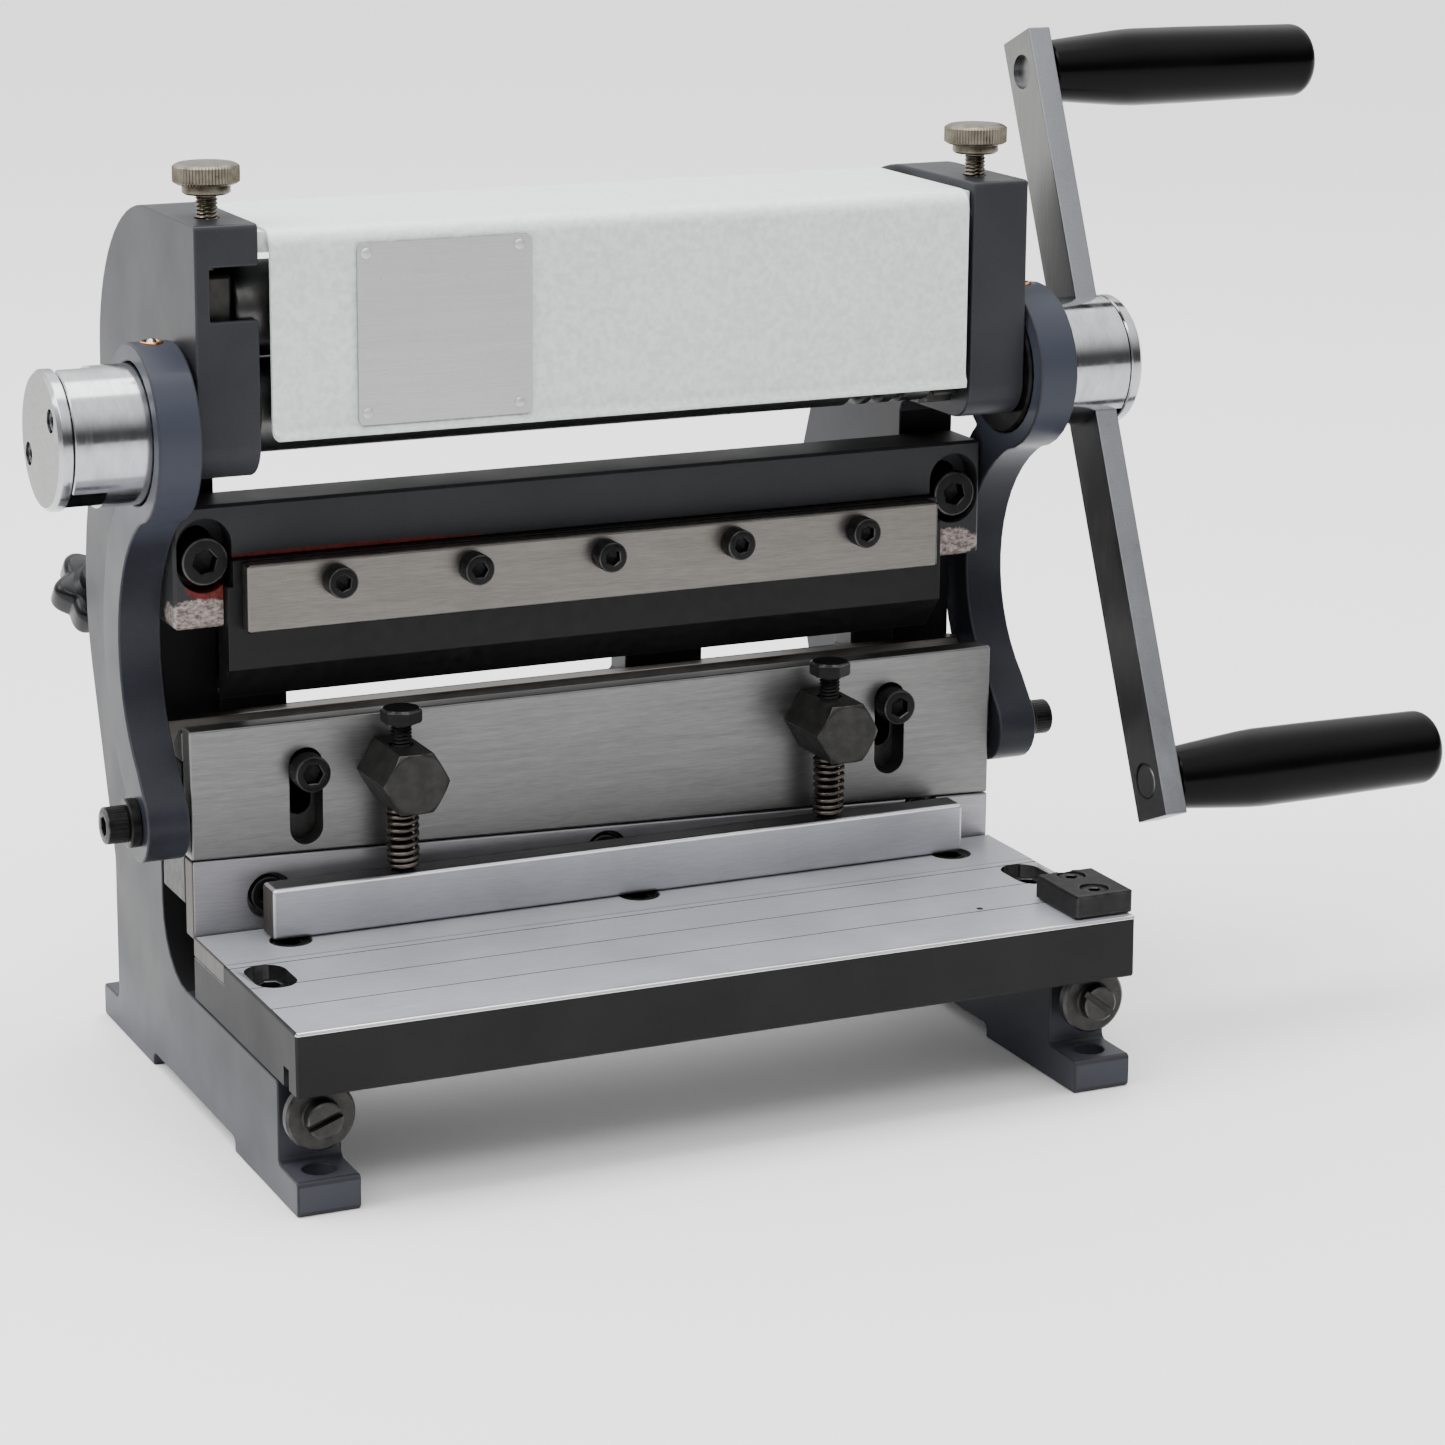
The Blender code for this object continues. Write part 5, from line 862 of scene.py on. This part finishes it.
for index in range(1, 6):
    cap_screw("clamp_screw_%d" % index, FRONT)
for side, sign in SIDES:
    cap_screw(side + "_beam_bolt", FRONT)
    cap_screw(side + "_guide_screw", FRONT)
    cap_screw(side + "_table_bolt", UP)

for side, sign in SIDES:
    node = side + "_arm_bolt"
    radius, height = ARM_SCREW[:2]
    bm = socket_head(*ARM_SCREW)
    stack(bm, ((-COLLAR_LENGTH, COLLAR_RADIUS - STEEL_EDGE), (STEEL_EDGE - COLLAR_LENGTH, COLLAR_RADIUS),
               (-STEEL_EDGE, COLLAR_RADIUS), (0.0, COLLAR_RADIUS - STEEL_EDGE), (0.0, radius / 2)))
    base = middle(node)
    base.x = end_x(node, sign) - sign * height
    stand_in(node, bm, SCREW, standing(base, (sign, 0, 0)))

for carrier, seats, direction, radius, drop in (
        ("lower_shear_blade", lower_seats, UP, 4.9 * MM, 3.4 * MM),
        ("upper_shear_blade", upper_seats, FRONT, 5 * MM, 4.4 * MM)):
    heads = [stood(socket_head(radius, *BLADE_SCREW), seat - Vector(direction) * drop, direction)
             for seat in seats]
    make(carrier + "_screws", joined(*heads), SCREW, carrier)

low, high, centre = measured("stop_block")
heads = [stood(socket_head(*STOP_SCREW), (centre.x, low.y + inset, high.z - STOP_DROP), UP)
         for inset in STOP_INSETS]
make("stop_block_screws", joined(*heads), SCREW, "stop_block")

THREAD_ROUND = 32
THREAD_STEPS = 6
FINE_THREAD = mm(1, 0.45)
KNOB_THREAD = mm(1.25, 0.55)


def threaded(radius, pitch, depth, low, high):
    """Rings of a threaded rod: the crest winds once round for each pitch."""
    rings = []
    total = max(2, round((high - low) / pitch * THREAD_STEPS))
    for row in range(total + 1):
        height = low + (high - low) * row / total

        def reach(angle, height=height):
            phase = (height / pitch - angle / FULL_TURN) % 1.0
            return radius - depth * abs(2 * phase - 1)
        rings.append(ring(reach, height, THREAD_ROUND))
    return rings


# Hold-down: bolts, hexagonal posts and springs

HOLD_HEAD = 3.8 * MM
HOLD_FLATS = 10 * MM
HOLD_ROUND = 96
HOLD_STEM = 2.9 * MM
HOLD_NECK = HOLD_STEM - 0.3 * MM
HOLD_HOLE = HOLD_STEM + 0.5 * MM

# Dome turned on a post's front: distance from the front, and reach beyond the post's half height
CROWN = sized(((0.0, -0.5), (0.25, 0.15), (1.1, 1.35)))
CROWN_END = 1.2 * MM
POST_EDGE = 0.22 * MM
SPRING_TURNS = 9
SPRING_STEPS = 36
SPRING_WIRE = 0.62 * MM
SPRING_COIL = 3.9 * MM
WIRE_ROUND = 10
END_TURNS = 0.03


def spring_shape(centre, low, high):
    """Wound wire with closed flat end turns."""
    bm = bmesh.new()
    total = SPRING_TURNS * SPRING_STEPS
    rows = []
    rise = high - low - 2 * SPRING_WIRE
    for step in range(total + 1):
        share = step / total
        angle = FULL_TURN * step / SPRING_STEPS
        eased = share - END_TURNS * math.sin(FULL_TURN * share)
        outward = Vector((math.cos(angle), math.sin(angle), 0.0))
        core = Vector((centre.x, centre.y, low + SPRING_WIRE + rise * eased)) + outward * SPRING_COIL
        rows.append([core + (outward * math.cos(turn) + Vector(UP) * math.sin(turn)) * SPRING_WIRE
                     for turn in (FULL_TURN * side / WIRE_ROUND for side in range(WIRE_ROUND))])
    loft(bm, rows)
    return bm


for side, sign in SIDES:
    bolt = side + "_hold_down_bolt"
    low, high, centre = measured(bolt)
    head_low = high.z - HOLD_HEAD
    bm = bmesh.new()
    loft(bm, threaded(HOLD_STEM, *FINE_THREAD, low.z, head_low - 1.2 * MM)
         + [ring(HOLD_NECK, head_low - 1 * MM, THREAD_ROUND),
            ring(HOLD_NECK, head_low + 1 * MM, THREAD_ROUND)])
    flats = hexagon_reach(HOLD_FLATS)
    corner = flats(math.pi / 6)
    trimmed = lambda angle: min(flats(angle), corner - 0.35 * MM)
    full = lambda angle: min(flats(angle), corner - 0.05 * MM)
    stack(bm, ((head_low, trimmed), (head_low + 0.5 * MM, full), (high.z - 0.7 * MM, full),
               (high.z - 0.4 * MM, trimmed), (high.z, HOLD_FLATS / 2 - 0.15 * MM)),
          HOLD_ROUND, [0, 0, 1, 1])
    stand_in(bolt, bm, SCREW, Matrix.Translation((centre.x, centre.y, 0)))

    post = side + "_hex_post"
    low, high, centre = measured(post)
    half = (high.z - low.z) / 2
    profile = [(along, half + beyond) for along, beyond in CROWN]
    crown = turned(profile + [(CROWN_END, 2 * half), (high.y - low.y, 2 * half)], 120)
    crown = stood(crown, (centre.x, low.y, centre.z), BACK)
    corner = hexagon_reach(2 * half)(math.pi / 6)
    corners = arc((0.0, 0.0), corner, 0.0, FULL_TURN, 6)[:-1]
    body = extruded(corners, low.y - OVER, high.y, lambda u, v, depth: (centre.x + u, depth, centre.z + v))
    hole = turned([(low.z - OVER, HOLD_HOLE), (high.z + OVER, HOLD_HOLE)], 48)
    hole.transform(Matrix.Translation((centre.x, middle(bolt).y, 0)))
    bm = carved(carved(body, [crown], "INTERSECT"), [hole])
    round_edges(bm, POST_EDGE, 2, 1)
    stand_in(post, bm, "dark oxide_edge")

    spring = side + "_hold_down_spring"
    low, high, centre = measured(spring)
    piece = shaped(spring + "_form", spring_shape(centre, low.z, high.z), "spring")
    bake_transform(piece)
    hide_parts(spring)


# Table adjusters, thumb screws and star knobs

# Adjuster: boss, then flange as reach beyond the flange's radius, then the shank's start
ADJUSTER_BOSS = sized(((0.0, 4.3), (0.35, 4.8), (3.5, 4.8), (3.8, 5.2)))
ADJUSTER_FLANGE = sized(((3.8, -0.7), (4.4, 0.0), (6.5, 0.0), (7.0, -0.5)))
ADJUSTER_SHANK = mm(7, 3.9)
DRIVER_HALF = 0.9 * MM
DRIVER_DEPTH = 1.9 * MM
TILTS = {"left": math.radians(20.0), "right": math.radians(-38.0)}
for side, sign in SIDES:
    node = side + "_table_adjuster"
    low, high, centre = measured(node)
    flange = (high.x - low.x) / 2
    profile = ADJUSTER_BOSS + [(along, flange + beyond) for along, beyond in ADJUSTER_FLANGE]
    profile += [ADJUSTER_SHANK, (high.y - low.y, ADJUSTER_SHANK[1])]
    slot = box_mesh((-2 * flange, -DRIVER_HALF, -OVER), (2 * flange, DRIVER_HALF, DRIVER_DEPTH))
    slot.transform(Matrix.Rotation(-TILTS[side], 4, "Z"))
    bm = carved(turned(profile, ROUND, [1, 0, 0, 0, 1, 0, 0, 0, 0]), [slot])
    stand_in(node, bm, "dark oxide_edge",
             Matrix(((1, 0, 0, centre.x), (0, 0, 1, low.y), (0, -1, 0, centre.z), (0, 0, 0, 1))))

# Thumb screw: heights from its top; the head's parts give reach beyond the head's radius
THUMB_TEETH = 60
THUMB_KNURL = 0.16 * MM
THUMB_SPARE = 0.4 * MM
THUMB_THREAD = mm(-18.2, -9)
THUMB_STEM = 2.9 * MM
THUMB_NECK = sized(((-8.8, 2.4), (-7.2, 2.4)))
THUMB_COLLAR = sized(((-8.2, 5.6), (-7.7, 6.3), (-6.1, 6.3), (-5.6, 6.1)))
THUMB_UNDER = sized(((-5.6, -1.1), (-5.25, -0.45)))
THUMB_KNURLED = mm(-4.9, -1.1)
THUMB_CROWN = sized(((-0.65, -0.5), (-0.25, -1.3), (-0.05, -3.0)))
for side, sign in SIDES:
    node = side + "_thumb_screw"
    low, high, centre = measured(node)
    head = (high.x - low.x) / 2 - THUMB_SPARE
    top = high.z
    knurl = lambda angle: head - THUMB_KNURL * (1 + math.cos(THUMB_TEETH * angle))
    bm = bmesh.new()
    start, end = (top + height for height in THUMB_THREAD)
    stem = threaded(THUMB_STEM, *FINE_THREAD, start, end)
    neck = [ring(radius, top + height, THREAD_ROUND) for height, radius in THUMB_NECK]
    loft(bm, [ring(2.8 * MM, low.z, THREAD_ROUND)] + stem + neck)
    profile = THUMB_COLLAR + [(height, head + beyond) for height, beyond in THUMB_UNDER]
    profile += [(height, knurl) for height in THUMB_KNURLED]
    profile += [(height, head + beyond) for height, beyond in THUMB_CROWN] + [(0.0, 1 * MM)]
    stack(bm, [(top + height, reach) for height, reach in profile], 4 * THUMB_TEETH)
    stand_in(node, bm, "nickel", Matrix.Translation((centre.x, centre.y, 0)))

KNOB_LOBES = 6
KNOB_RADIUS = 13 * MM
KNOB_VALLEY = 10.2 * MM
KNOB_REACH = 98.2 * MM
KNOB_START = 8.8 * MM
KNOB_STEM = 3.9 * MM
KNOB_THREAD_LOW = KNOB_REACH - 19 * MM
KNOB_THREAD_TOP = KNOB_REACH - 5 * MM

# Knob from its foot up: turned foot, lobed body by how far its outline is drawn in, turned hollow
KNOB_FOOT = sized(((-5.0, 5.6), (-4.5, 6.0), (-1.2, 6.0), (0.0, 7.4)))
KNOB_BODY = sized(((0, 2.4), (0.5, 1.2), (1.4, 0.4), (2.4, 0), (7.6, 0), (8.6, 0.4), (9.5, 1.3), (10, 3)))
KNOB_HOLLOW = sized(((10.0, 5.4), (9.4, 4.8), (9.5, 0.5)))
REAR_AXIS = spot(0.0, 123 * MM, 191 * MM)
DOWN_BACK = Vector((0.0, 1.0, -1.0)).normalized()


def lobed(inset):
    """Outline of a six-lobed knob, drawn in by inset."""
    def reach(angle):
        wave = 0.5 + 0.5 * math.cos(KNOB_LOBES * angle)
        return KNOB_VALLEY + (KNOB_RADIUS - KNOB_VALLEY) * wave ** 0.75 - inset
    return reach


for side, sign in SIDES:
    node = side + "_star_knob"
    bm = bmesh.new()
    plain = [ring(KNOB_STEM, along, THREAD_ROUND) for along in (KNOB_START, KNOB_THREAD_LOW)]
    rings = plain + threaded(KNOB_STEM, *KNOB_THREAD, KNOB_THREAD_LOW, KNOB_THREAD_TOP)
    loft(bm, rings, [1] * len(rings))
    profile = KNOB_FOOT + [(height, lobed(inset)) for height, inset in KNOB_BODY] + KNOB_HOLLOW
    stack(bm, [(KNOB_REACH + height, reach) for height, reach in profile])
    stand_in(node, bm, "knob dark", standing((middle(node).x, REAR_AXIS.y, REAR_AXIS.z), DOWN_BACK))


# Rolls

ROLL_RADIUS = 12.5 * MM
ROLL_EDGE = 0.5 * MM
ROLL_SHOULDER = 94.6 * MM
GROOVE_SPACING = 6.5 * MM
GROOVE_RADII = mm(2.4, 1.9, 1.4)

# Rolls by the reach of the barrel to the left, the journals' radius, and whether it has wire grooves
ROLLS = (("crank_shaft", 102.4 * MM, 8 * MM, True),
         ("upper_roll", 108 * MM, 6 * MM, False),
         ("rear_roll", 102.4 * MM, 6 * MM, True))


def roll_profile(start, first, last, end, journal, grooved):
    """Profile from the left end to the right: journal, barrel with its wire grooves, journal."""
    profile = [(start, journal - ROLL_EDGE), (start + ROLL_EDGE, journal), (first, journal),
               (first, ROLL_RADIUS - ROLL_EDGE), (first + ROLL_EDGE, ROLL_RADIUS)]
    if grooved:
        place = last - (len(GROOVE_RADII) + 1) * GROOVE_SPACING
        for radius in GROOVE_RADII:
            profile += arc((place + GROOVE_SPACING / 2, ROLL_RADIUS), radius, math.pi, FULL_TURN, 8)
            place += GROOVE_SPACING
    return profile + [(last - ROLL_EDGE, ROLL_RADIUS), (last, ROLL_RADIUS - ROLL_EDGE), (last, journal),
                      (end - ROLL_EDGE, journal), (end, journal - ROLL_EDGE)]


for node, barrel_end, journal, grooved in ROLLS:
    low, high, centre = measured(node)
    first = MID_X - barrel_end
    last = MID_X + ROLL_SHOULDER
    bm = turned(roll_profile(low.x, first, last, high.x, journal, grooved))
    for face in bm.faces:
        place = face.calc_center_median()
        in_barrel = first + ROLL_EDGE < place.z < last - ROLL_EDGE
        if in_barrel and math.hypot(place.x, place.y) < ROLL_RADIUS - FINE_EDGE:
            face.material_index = 1
    stand_in(node, bm, "roll dark", standing((0.0, centre.y, centre.z), RIGHT))


# Hubs, lever and grips

HUB_ROUND = 144
HUB_CHAMFER = 0.6 * MM
HUB_RIM = 0.35 * MM
# Length of the hub's inner end that is painted as shade
HUB_PAINTED_SHADE_END = 12 * MM
HUB_SLOT_HALF = 8.3 * MM
HUB_SLOT_X = mm(143.8, 158)

# Hub cap's rim: distance before its face, and how far it is drawn in
CAP_RIM = sized(((1.1, 0.0), (0.85, 0.15), (0.0, 1.1)))
CAP_PLACES = (mm(-9.8, 6.8), mm(11.4, -5.4))
CAP_BORE = mm(3.1, 3)
CAP_DROP = 2.9 * MM


def tilted(y, z):
    """Point in the lever's own directions, from the hub's centre: across it, then along it."""
    cos_tilt = math.cos(LEVER_TILT)
    sin_tilt = math.sin(LEVER_TILT)
    return (FRONT_Y + HUB_Y + z * sin_tilt - y * cos_tilt, HUB_Z + z * cos_tilt + y * sin_tilt)


def lever_slab(half_width, low, high, near, far):
    outline = [tilted(-half_width, low), tilted(half_width, low), tilted(half_width, high),
               tilted(-half_width, high)]
    return extruded(outline, MID_X + near, MID_X + far, lambda u, v, depth: (depth, u, v))


for side, sign in SIDES:
    outward = (sign, 0, 0)
    node = side + "_hub"
    low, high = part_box(node)
    length = high.x - low.x
    radius = (high.z - low.z) / 2
    # Painted shade: the inner end, inside the arm's ring, and its end face take dark oxide
    bm = turned([(0.0, radius - HUB_CHAMFER), (HUB_CHAMFER, radius), (HUB_PAINTED_SHADE_END, radius),
                 (length - HUB_RIM, radius), (length, radius - HUB_RIM)], HUB_ROUND, [1, 1, 0, 0])
    for face in bm.faces:
        if face.calc_center_median().z < FINE_EDGE:
            face.material_index = 1
    bm = stood(bm, (end_x(node, -sign), HUB_AXIS.y, HUB_AXIS.z), outward)
    slot = lever_slab(HUB_SLOT_HALF, -2 * radius, 2 * radius, *(sign * x for x in HUB_SLOT_X))
    stand_in(node, carved(bm, [slot]), "chrome oxide")

    node = side + "_hub_cap"
    low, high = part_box(node)
    length = high.x - low.x
    rim = [(length - before, radius - inset) for before, inset in CAP_RIM]
    bm = turned([(0.0, radius - HUB_RIM), (HUB_RIM, radius)] + rim, HUB_ROUND)
    for face in bm.faces:
        face.material_index = 1 if abs(face.calc_center_median().z - length) < 0.01 * MM else 0
    bm = stood(bm, (end_x(node, -sign), HUB_AXIS.y, HUB_AXIS.z), outward)
    seats = [Vector((end_x(node, sign), HUB_AXIS.y + y, HUB_AXIS.z + z)) for y, z in CAP_PLACES]
    bm = carved(bm, [bore(seat, (-sign, 0, 0), *CAP_BORE) for seat in seats])
    stand_in(node, bm, "chrome cap_face")
    heads = [stood(socket_head(*CAP_SCREW), seat - Vector(outward) * CAP_DROP, outward)
             for seat in seats]
    make(node + "_screws", joined(*heads), SCREW, node)

# Spindles of the grips: each one's end has a radius and lies so deep in the lever's inner face
SPINDLE_ENDS = {"upper": mm(4.4, 1.9), "lower": mm(4.7, 0.05)}
SPINDLE_GAP = 0.55 * MM
PIN_ROUND = 64
SPINDLE_SEAT = 3 * MM
SHOULDER_RADIUS = 5.5 * MM
LEAST_BORE = 0.8 * MM
LEVER_EDGE = 0.45 * MM
LONG_EDGE = 5 * MM

# Grip from its mouth outwards, then the round at its end
GRIP_SHAPE = sized(((-3.5, 8.2), (-3.1, 8.6), (4.0, 9.35), (12.0, 10.15), (20.0, 10.9), (25.0, 11.2),
                    (42.0, 11.15), (60.0, 10.9), (72.0, 10.72), (78.5, 10.65)))
GRIP_ROUND = 4.6 * MM
GRIP_FLAT = 3 * MM

bm = lever_slab(LEVER_HALF, -LEVER_DOWN - LEVER_TIP, LEVER_UP + LEVER_TIP, LEVER_INNER, LEVER_OUTER)
grips = {"upper": tilted(0.0, LEVER_UP), "lower": tilted(0.0, -LEVER_DOWN)}
for name, (y, z) in grips.items():
    radius, deep = SPINDLE_ENDS[name]
    seat = (MID_X + LEVER_INNER, y, z)
    bm = carved(bm, [bore(seat, RIGHT, radius + SPINDLE_GAP, max(LEAST_BORE, deep))])
round_edges(bm, LEVER_EDGE, 2, 0, lambda point, edge: edge.calc_length() > LONG_EDGE)
for name, (y, z) in grips.items():
    radius, deep = SPINDLE_ENDS[name]
    tip = turned([(0.1 * MM + deep, radius - 0.4 * MM), (0.4 * MM + deep, radius), (SPINDLE_SEAT, radius)],
                 PIN_ROUND)
    for face in tip.faces:
        face.material_index = 1 if name == "upper" else 0
    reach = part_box(name + "_grip")[0].x - MID_X - LEVER_OUTER
    shoulder = turned([(0.0, SHOULDER_RADIUS), (reach - 0.8 * MM, SHOULDER_RADIUS),
                       (reach - 0.3 * MM, SHOULDER_RADIUS - 0.4 * MM), (reach + 4 * MM, 3.4 * MM)],
                      PIN_ROUND, [1, 1, 1])
    bm = joined(bm, stood(tip, (MID_X + LEVER_INNER, y, z), RIGHT),
                stood(shoulder, (MID_X + LEVER_OUTER - 0.2 * MM, y, z), RIGHT))
# Painted highlight: the lever's narrow faces take the lighter, bluer steel
bm.normal_update()
for face in bm.faces:
    if face.material_index == 0 and abs(face.normal.x) < 0.5:
        face.material_index = 2
stand_in("crank_lever", bm, "lever roll lever_edge")

for name, (y, z) in grips.items():
    node = name + "_grip"
    low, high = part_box(node)
    length = high.x - low.x
    corner = (length - GRIP_ROUND, GRIP_SHAPE[-1][1] - GRIP_ROUND)
    profile = GRIP_SHAPE + arc(corner, GRIP_ROUND, QUARTER, 0.0, 10)[1:] + [(length, GRIP_FLAT)]
    stand_in(node, turned(profile), "grip", standing((low.x, y, z), RIGHT))


# Oil cups on the arms' rings: a rimmed cup and the ball in it

OILER_CUP = sized(((-2.0, 3.0), (0.1, 3.0), (0.35, 2.7), (0.35, 2.1), (-0.3, 1.7)))
BALL_RADIUS = 1.6 * MM
BALL_DROP = 0.55 * MM
for side, sign in SIDES:
    node = side + "_arm"
    ball = bmesh.new()
    bmesh.ops.create_uvsphere(ball, u_segments=32, v_segments=16, radius=BALL_RADIUS)
    ball.transform(Matrix.Translation((0, 0, -BALL_DROP)))
    for face in ball.faces:
        face.material_index = 1
    top = (middle(node).x, HUB_AXIS.y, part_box(node)[1].z)
    make(side + "_oil_cup", joined(turned(OILER_CUP, 48), ball), "brass chrome", node, (),
         standing(top, UP))


# Cover and its bare plate

COVER_SHEET = 1.2 * MM
COVER_BEND = 5 * MM
COVER_HALF = 100.5 * MM
LIP_REACH = 2.4 * MM
LIP_BEND = 2.6 * MM
LIP_ANGLE = math.radians(-84.0)
LIP_STEPS = 12
BEND_STEPS = 14
BACK_LIP = 8 * MM
CORNER_ROUND = 1 * MM
SHEET_ROUND = 0.3 * MM

# Tabs that carry the cover on the heads: X from the middle, Y, and depths below the cover's top
TAB_X = (COVER_HALF - 1.5 * MM, 102.6 * MM)
TAB_Y = mm(71, 108)
TAB_DEPTHS = mm(6, 0.7)
COVER_LOW, COVER_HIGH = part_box("roll_cover")
COVER_FRONT = COVER_LOW.y + LIP_REACH


def cover_line(inset):
    """Section of the bent sheet, from the front lip over the top to the back lip, moved in by inset."""
    front_bend = (COVER_FRONT + COVER_BEND, COVER_HIGH.z - COVER_BEND)
    back_bend = (COVER_HIGH.y - COVER_BEND, COVER_HIGH.z - COVER_BEND)
    lip_centre = (COVER_FRONT - LIP_BEND, COVER_LOW.z + LIP_BEND + COVER_SHEET)
    line = arc(lip_centre, LIP_BEND + inset, LIP_ANGLE, 0.0, LIP_STEPS)
    line += arc(front_bend, COVER_BEND - inset, math.pi, QUARTER, BEND_STEPS)
    line += arc(back_bend, COVER_BEND - inset, QUARTER, 0.0, BEND_STEPS)
    line.append((COVER_HIGH.y - inset, COVER_HIGH.z - BACK_LIP))
    return line


def cover_shape():
    """Bent sheet whose front lip's corners are rounded."""
    bm = bmesh.new()
    outer = cover_line(0.0)
    inner = cover_line(COVER_SHEET)
    lift = COVER_LOW.z - min(v for u, v in outer)
    rows = []
    tip = Vector((math.sin(LIP_ANGLE), -math.cos(LIP_ANGLE))) * SHEET_ROUND
    inward = (Vector(inner[0]) - Vector(outer[0])).normalized() * SHEET_ROUND
    outer.insert(0, tuple(Vector(outer[0]) + tip + inward))
    inner.insert(0, tuple(Vector(inner[0]) + tip - inward))
    for outside, inside in zip(outer, inner):
        above = max(0.0, CORNER_ROUND - (outside[1] + lift - COVER_LOW.z))
        trim = CORNER_ROUND - math.sqrt(max(0.0, CORNER_ROUND ** 2 - above ** 2))
        left = MID_X - COVER_HALF + trim
        right = MID_X + COVER_HALF - trim
        rows.append([(left, *outside), (right, *outside), (right, *inside), (left, *inside)])
    loft(bm, rows, [1] * LIP_STEPS + [0] * (len(rows) - LIP_STEPS))
    return bm


tabs = []
for side, sign in SIDES:
    near, far = sorted(MID_X + sign * x for x in TAB_X)
    tabs.append(box_mesh((near, FRONT_Y + TAB_Y[0], COVER_HIGH.z - TAB_DEPTHS[0]),
                         (far, FRONT_Y + TAB_Y[1], COVER_HIGH.z - TAB_DEPTHS[1])))
stand_in("roll_cover", joined(cover_shape(), *tabs), "cover cover_edge")

PLATE_LOW, PLATE_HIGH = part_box("name_plate")
PLATE_CORNER = 1.6 * MM
PLATE_EDGE = 0.2 * MM
RIVET_RADIUS = 1.55 * MM
RIVET_HEIGHT = 0.75 * MM
RIVET_STEPS = 8
left = PLATE_LOW.x + PLATE_CORNER
right = PLATE_HIGH.x - PLATE_CORNER
bottom = PLATE_LOW.z + PLATE_CORNER
top = PLATE_HIGH.z - PLATE_CORNER
outline = []
corners = ((left, bottom, math.pi), (right, bottom, -QUARTER), (right, top, 0), (left, top, QUARTER))
for x, z, start in corners:
    outline += arc((x, z), PLATE_CORNER, start, start + QUARTER, 6)
bm = extruded(outline, PLATE_LOW.y, PLATE_HIGH.y, lambda u, v, depth: (u, depth, v))
round_edges(bm, PLATE_EDGE)
stand_in("name_plate", bm, "plate")

angles = [QUARTER * step / RIVET_STEPS for step in range(RIVET_STEPS + 1)]
dome = [(RIVET_HEIGHT * math.sin(angle), RIVET_RADIUS * math.cos(angle) + 0.01 * MM) for angle in angles]
rivets = [stood(turned([(-0.2 * MM, RIVET_RADIUS)] + dome, 40), (x, PLATE_LOW.y, z), FRONT)
          for x in (PLATE_LOW.x + 2.4 * MM, PLATE_HIGH.x - 3.6 * MM)
          for z in (PLATE_LOW.z + 3 * MM, PLATE_HIGH.z - 2.6 * MM)]
make("name_plate_rivets", joined(*rivets), "rivet", "name_plate")


# Camera, floor and light

TARGET = (0.0, 60 * MM, 140 * MM)
DISTANCE = 1068.8 * MM
AZIMUTH = math.radians(-23.97)
ELEVATION = math.radians(13.2)
LEAN = math.radians(0.21)
LENS = 99.63
SENSOR_WIDTH = 36.0
SHIFT = (0.0554, -0.0973)
FLOOR_REACH = 14.0

# Light of the surroundings: direction, where it starts and ends along it, and strength
WORLD_BASE = 0.13
REAR_LEFT = Vector((-0.8, 0.52, 0.3)).normalized()
LOBES = ((UP, 0.22, 0.85, 2.15), (REAR_LEFT, 0.2, 0.95, 0.6), (BACK, -0.1, 0.8, 0.8))

# Softboxes: place, width and depth, and power
LIGHT_AIM = (0.0, 80 * MM, 120 * MM)
SOFTBOXES = (("key_left", (-1.1, 0.1, 1.15), (0.7, 0.7), 10.0),
             ("top", (0.0, 0.25, 1.8), (1.4, 1.0), 26.0),
             ("front_top", (-0.35, -0.95, 1.45), (0.5, 0.5), 5.0))


def make_camera():
    data = bpy.data.cameras.new("camera")
    data.lens = LENS
    data.sensor_width = SENSOR_WIDTH
    data.shift_x, data.shift_y = SHIFT
    data.clip_start = 0.02
    data.clip_end = 100.0
    camera = bpy.data.objects.new("camera", data)
    bpy.context.collection.objects.link(camera)
    place = (Matrix.Rotation(AZIMUTH, 3, "Z") @ Matrix.Rotation(QUARTER - ELEVATION, 3, "X")
             @ Matrix.Rotation(LEAN, 3, "Z")).to_4x4()
    place.translation = spot(*TARGET) + place.to_3x3() @ Vector((0.0, 0.0, DISTANCE))
    camera.matrix_world = place
    bpy.context.scene.camera = camera


def make_floor():
    bm = bmesh.new()
    bmesh.ops.create_circle(bm, cap_ends=True, radius=FLOOR_REACH, segments=96)
    floor = shaped("floor", bm, "floor")
    floor.location.z = CAD_BOX[0].z


def make_surroundings():
    """Studio surroundings: bright overhead and behind to the left, dim in front."""
    world = bpy.data.worlds.new("studio")
    bpy.context.scene.world = world
    studio = Tree(world)
    view = studio.add("TexCoord", {}).outputs["Generated"]
    parts = [studio.remap(studio.vector_math("DOT_PRODUCT", view, axis)["Value"], low, high, 0.0, strength,
                          "SMOOTHSTEP") for axis, low, high, strength in LOBES]
    total = parts[0]
    for part in parts[1:] + [WORLD_BASE]:
        total = studio.math("ADD", total, part)
    background = studio.nodes["Background"]
    background.inputs["Color"].default_value = (1.0, 1.0, 1.0, 1.0)
    studio.feed(background.inputs["Strength"], total)


def make_softbox(name, place, size, power):
    data = bpy.data.lights.new(name, "AREA")
    data.shape = "RECTANGLE"
    data.size, data.size_y = size
    data.energy = power
    light = bpy.data.objects.new(name, data)
    light.location = spot(*place)
    light.rotation_euler = (spot(*LIGHT_AIM) - light.location).to_track_quat("-Z", "Y").to_euler()
    bpy.context.collection.objects.link(light)


make_camera()
make_floor()
make_surroundings()
for softbox in SOFTBOXES:
    make_softbox(*softbox)
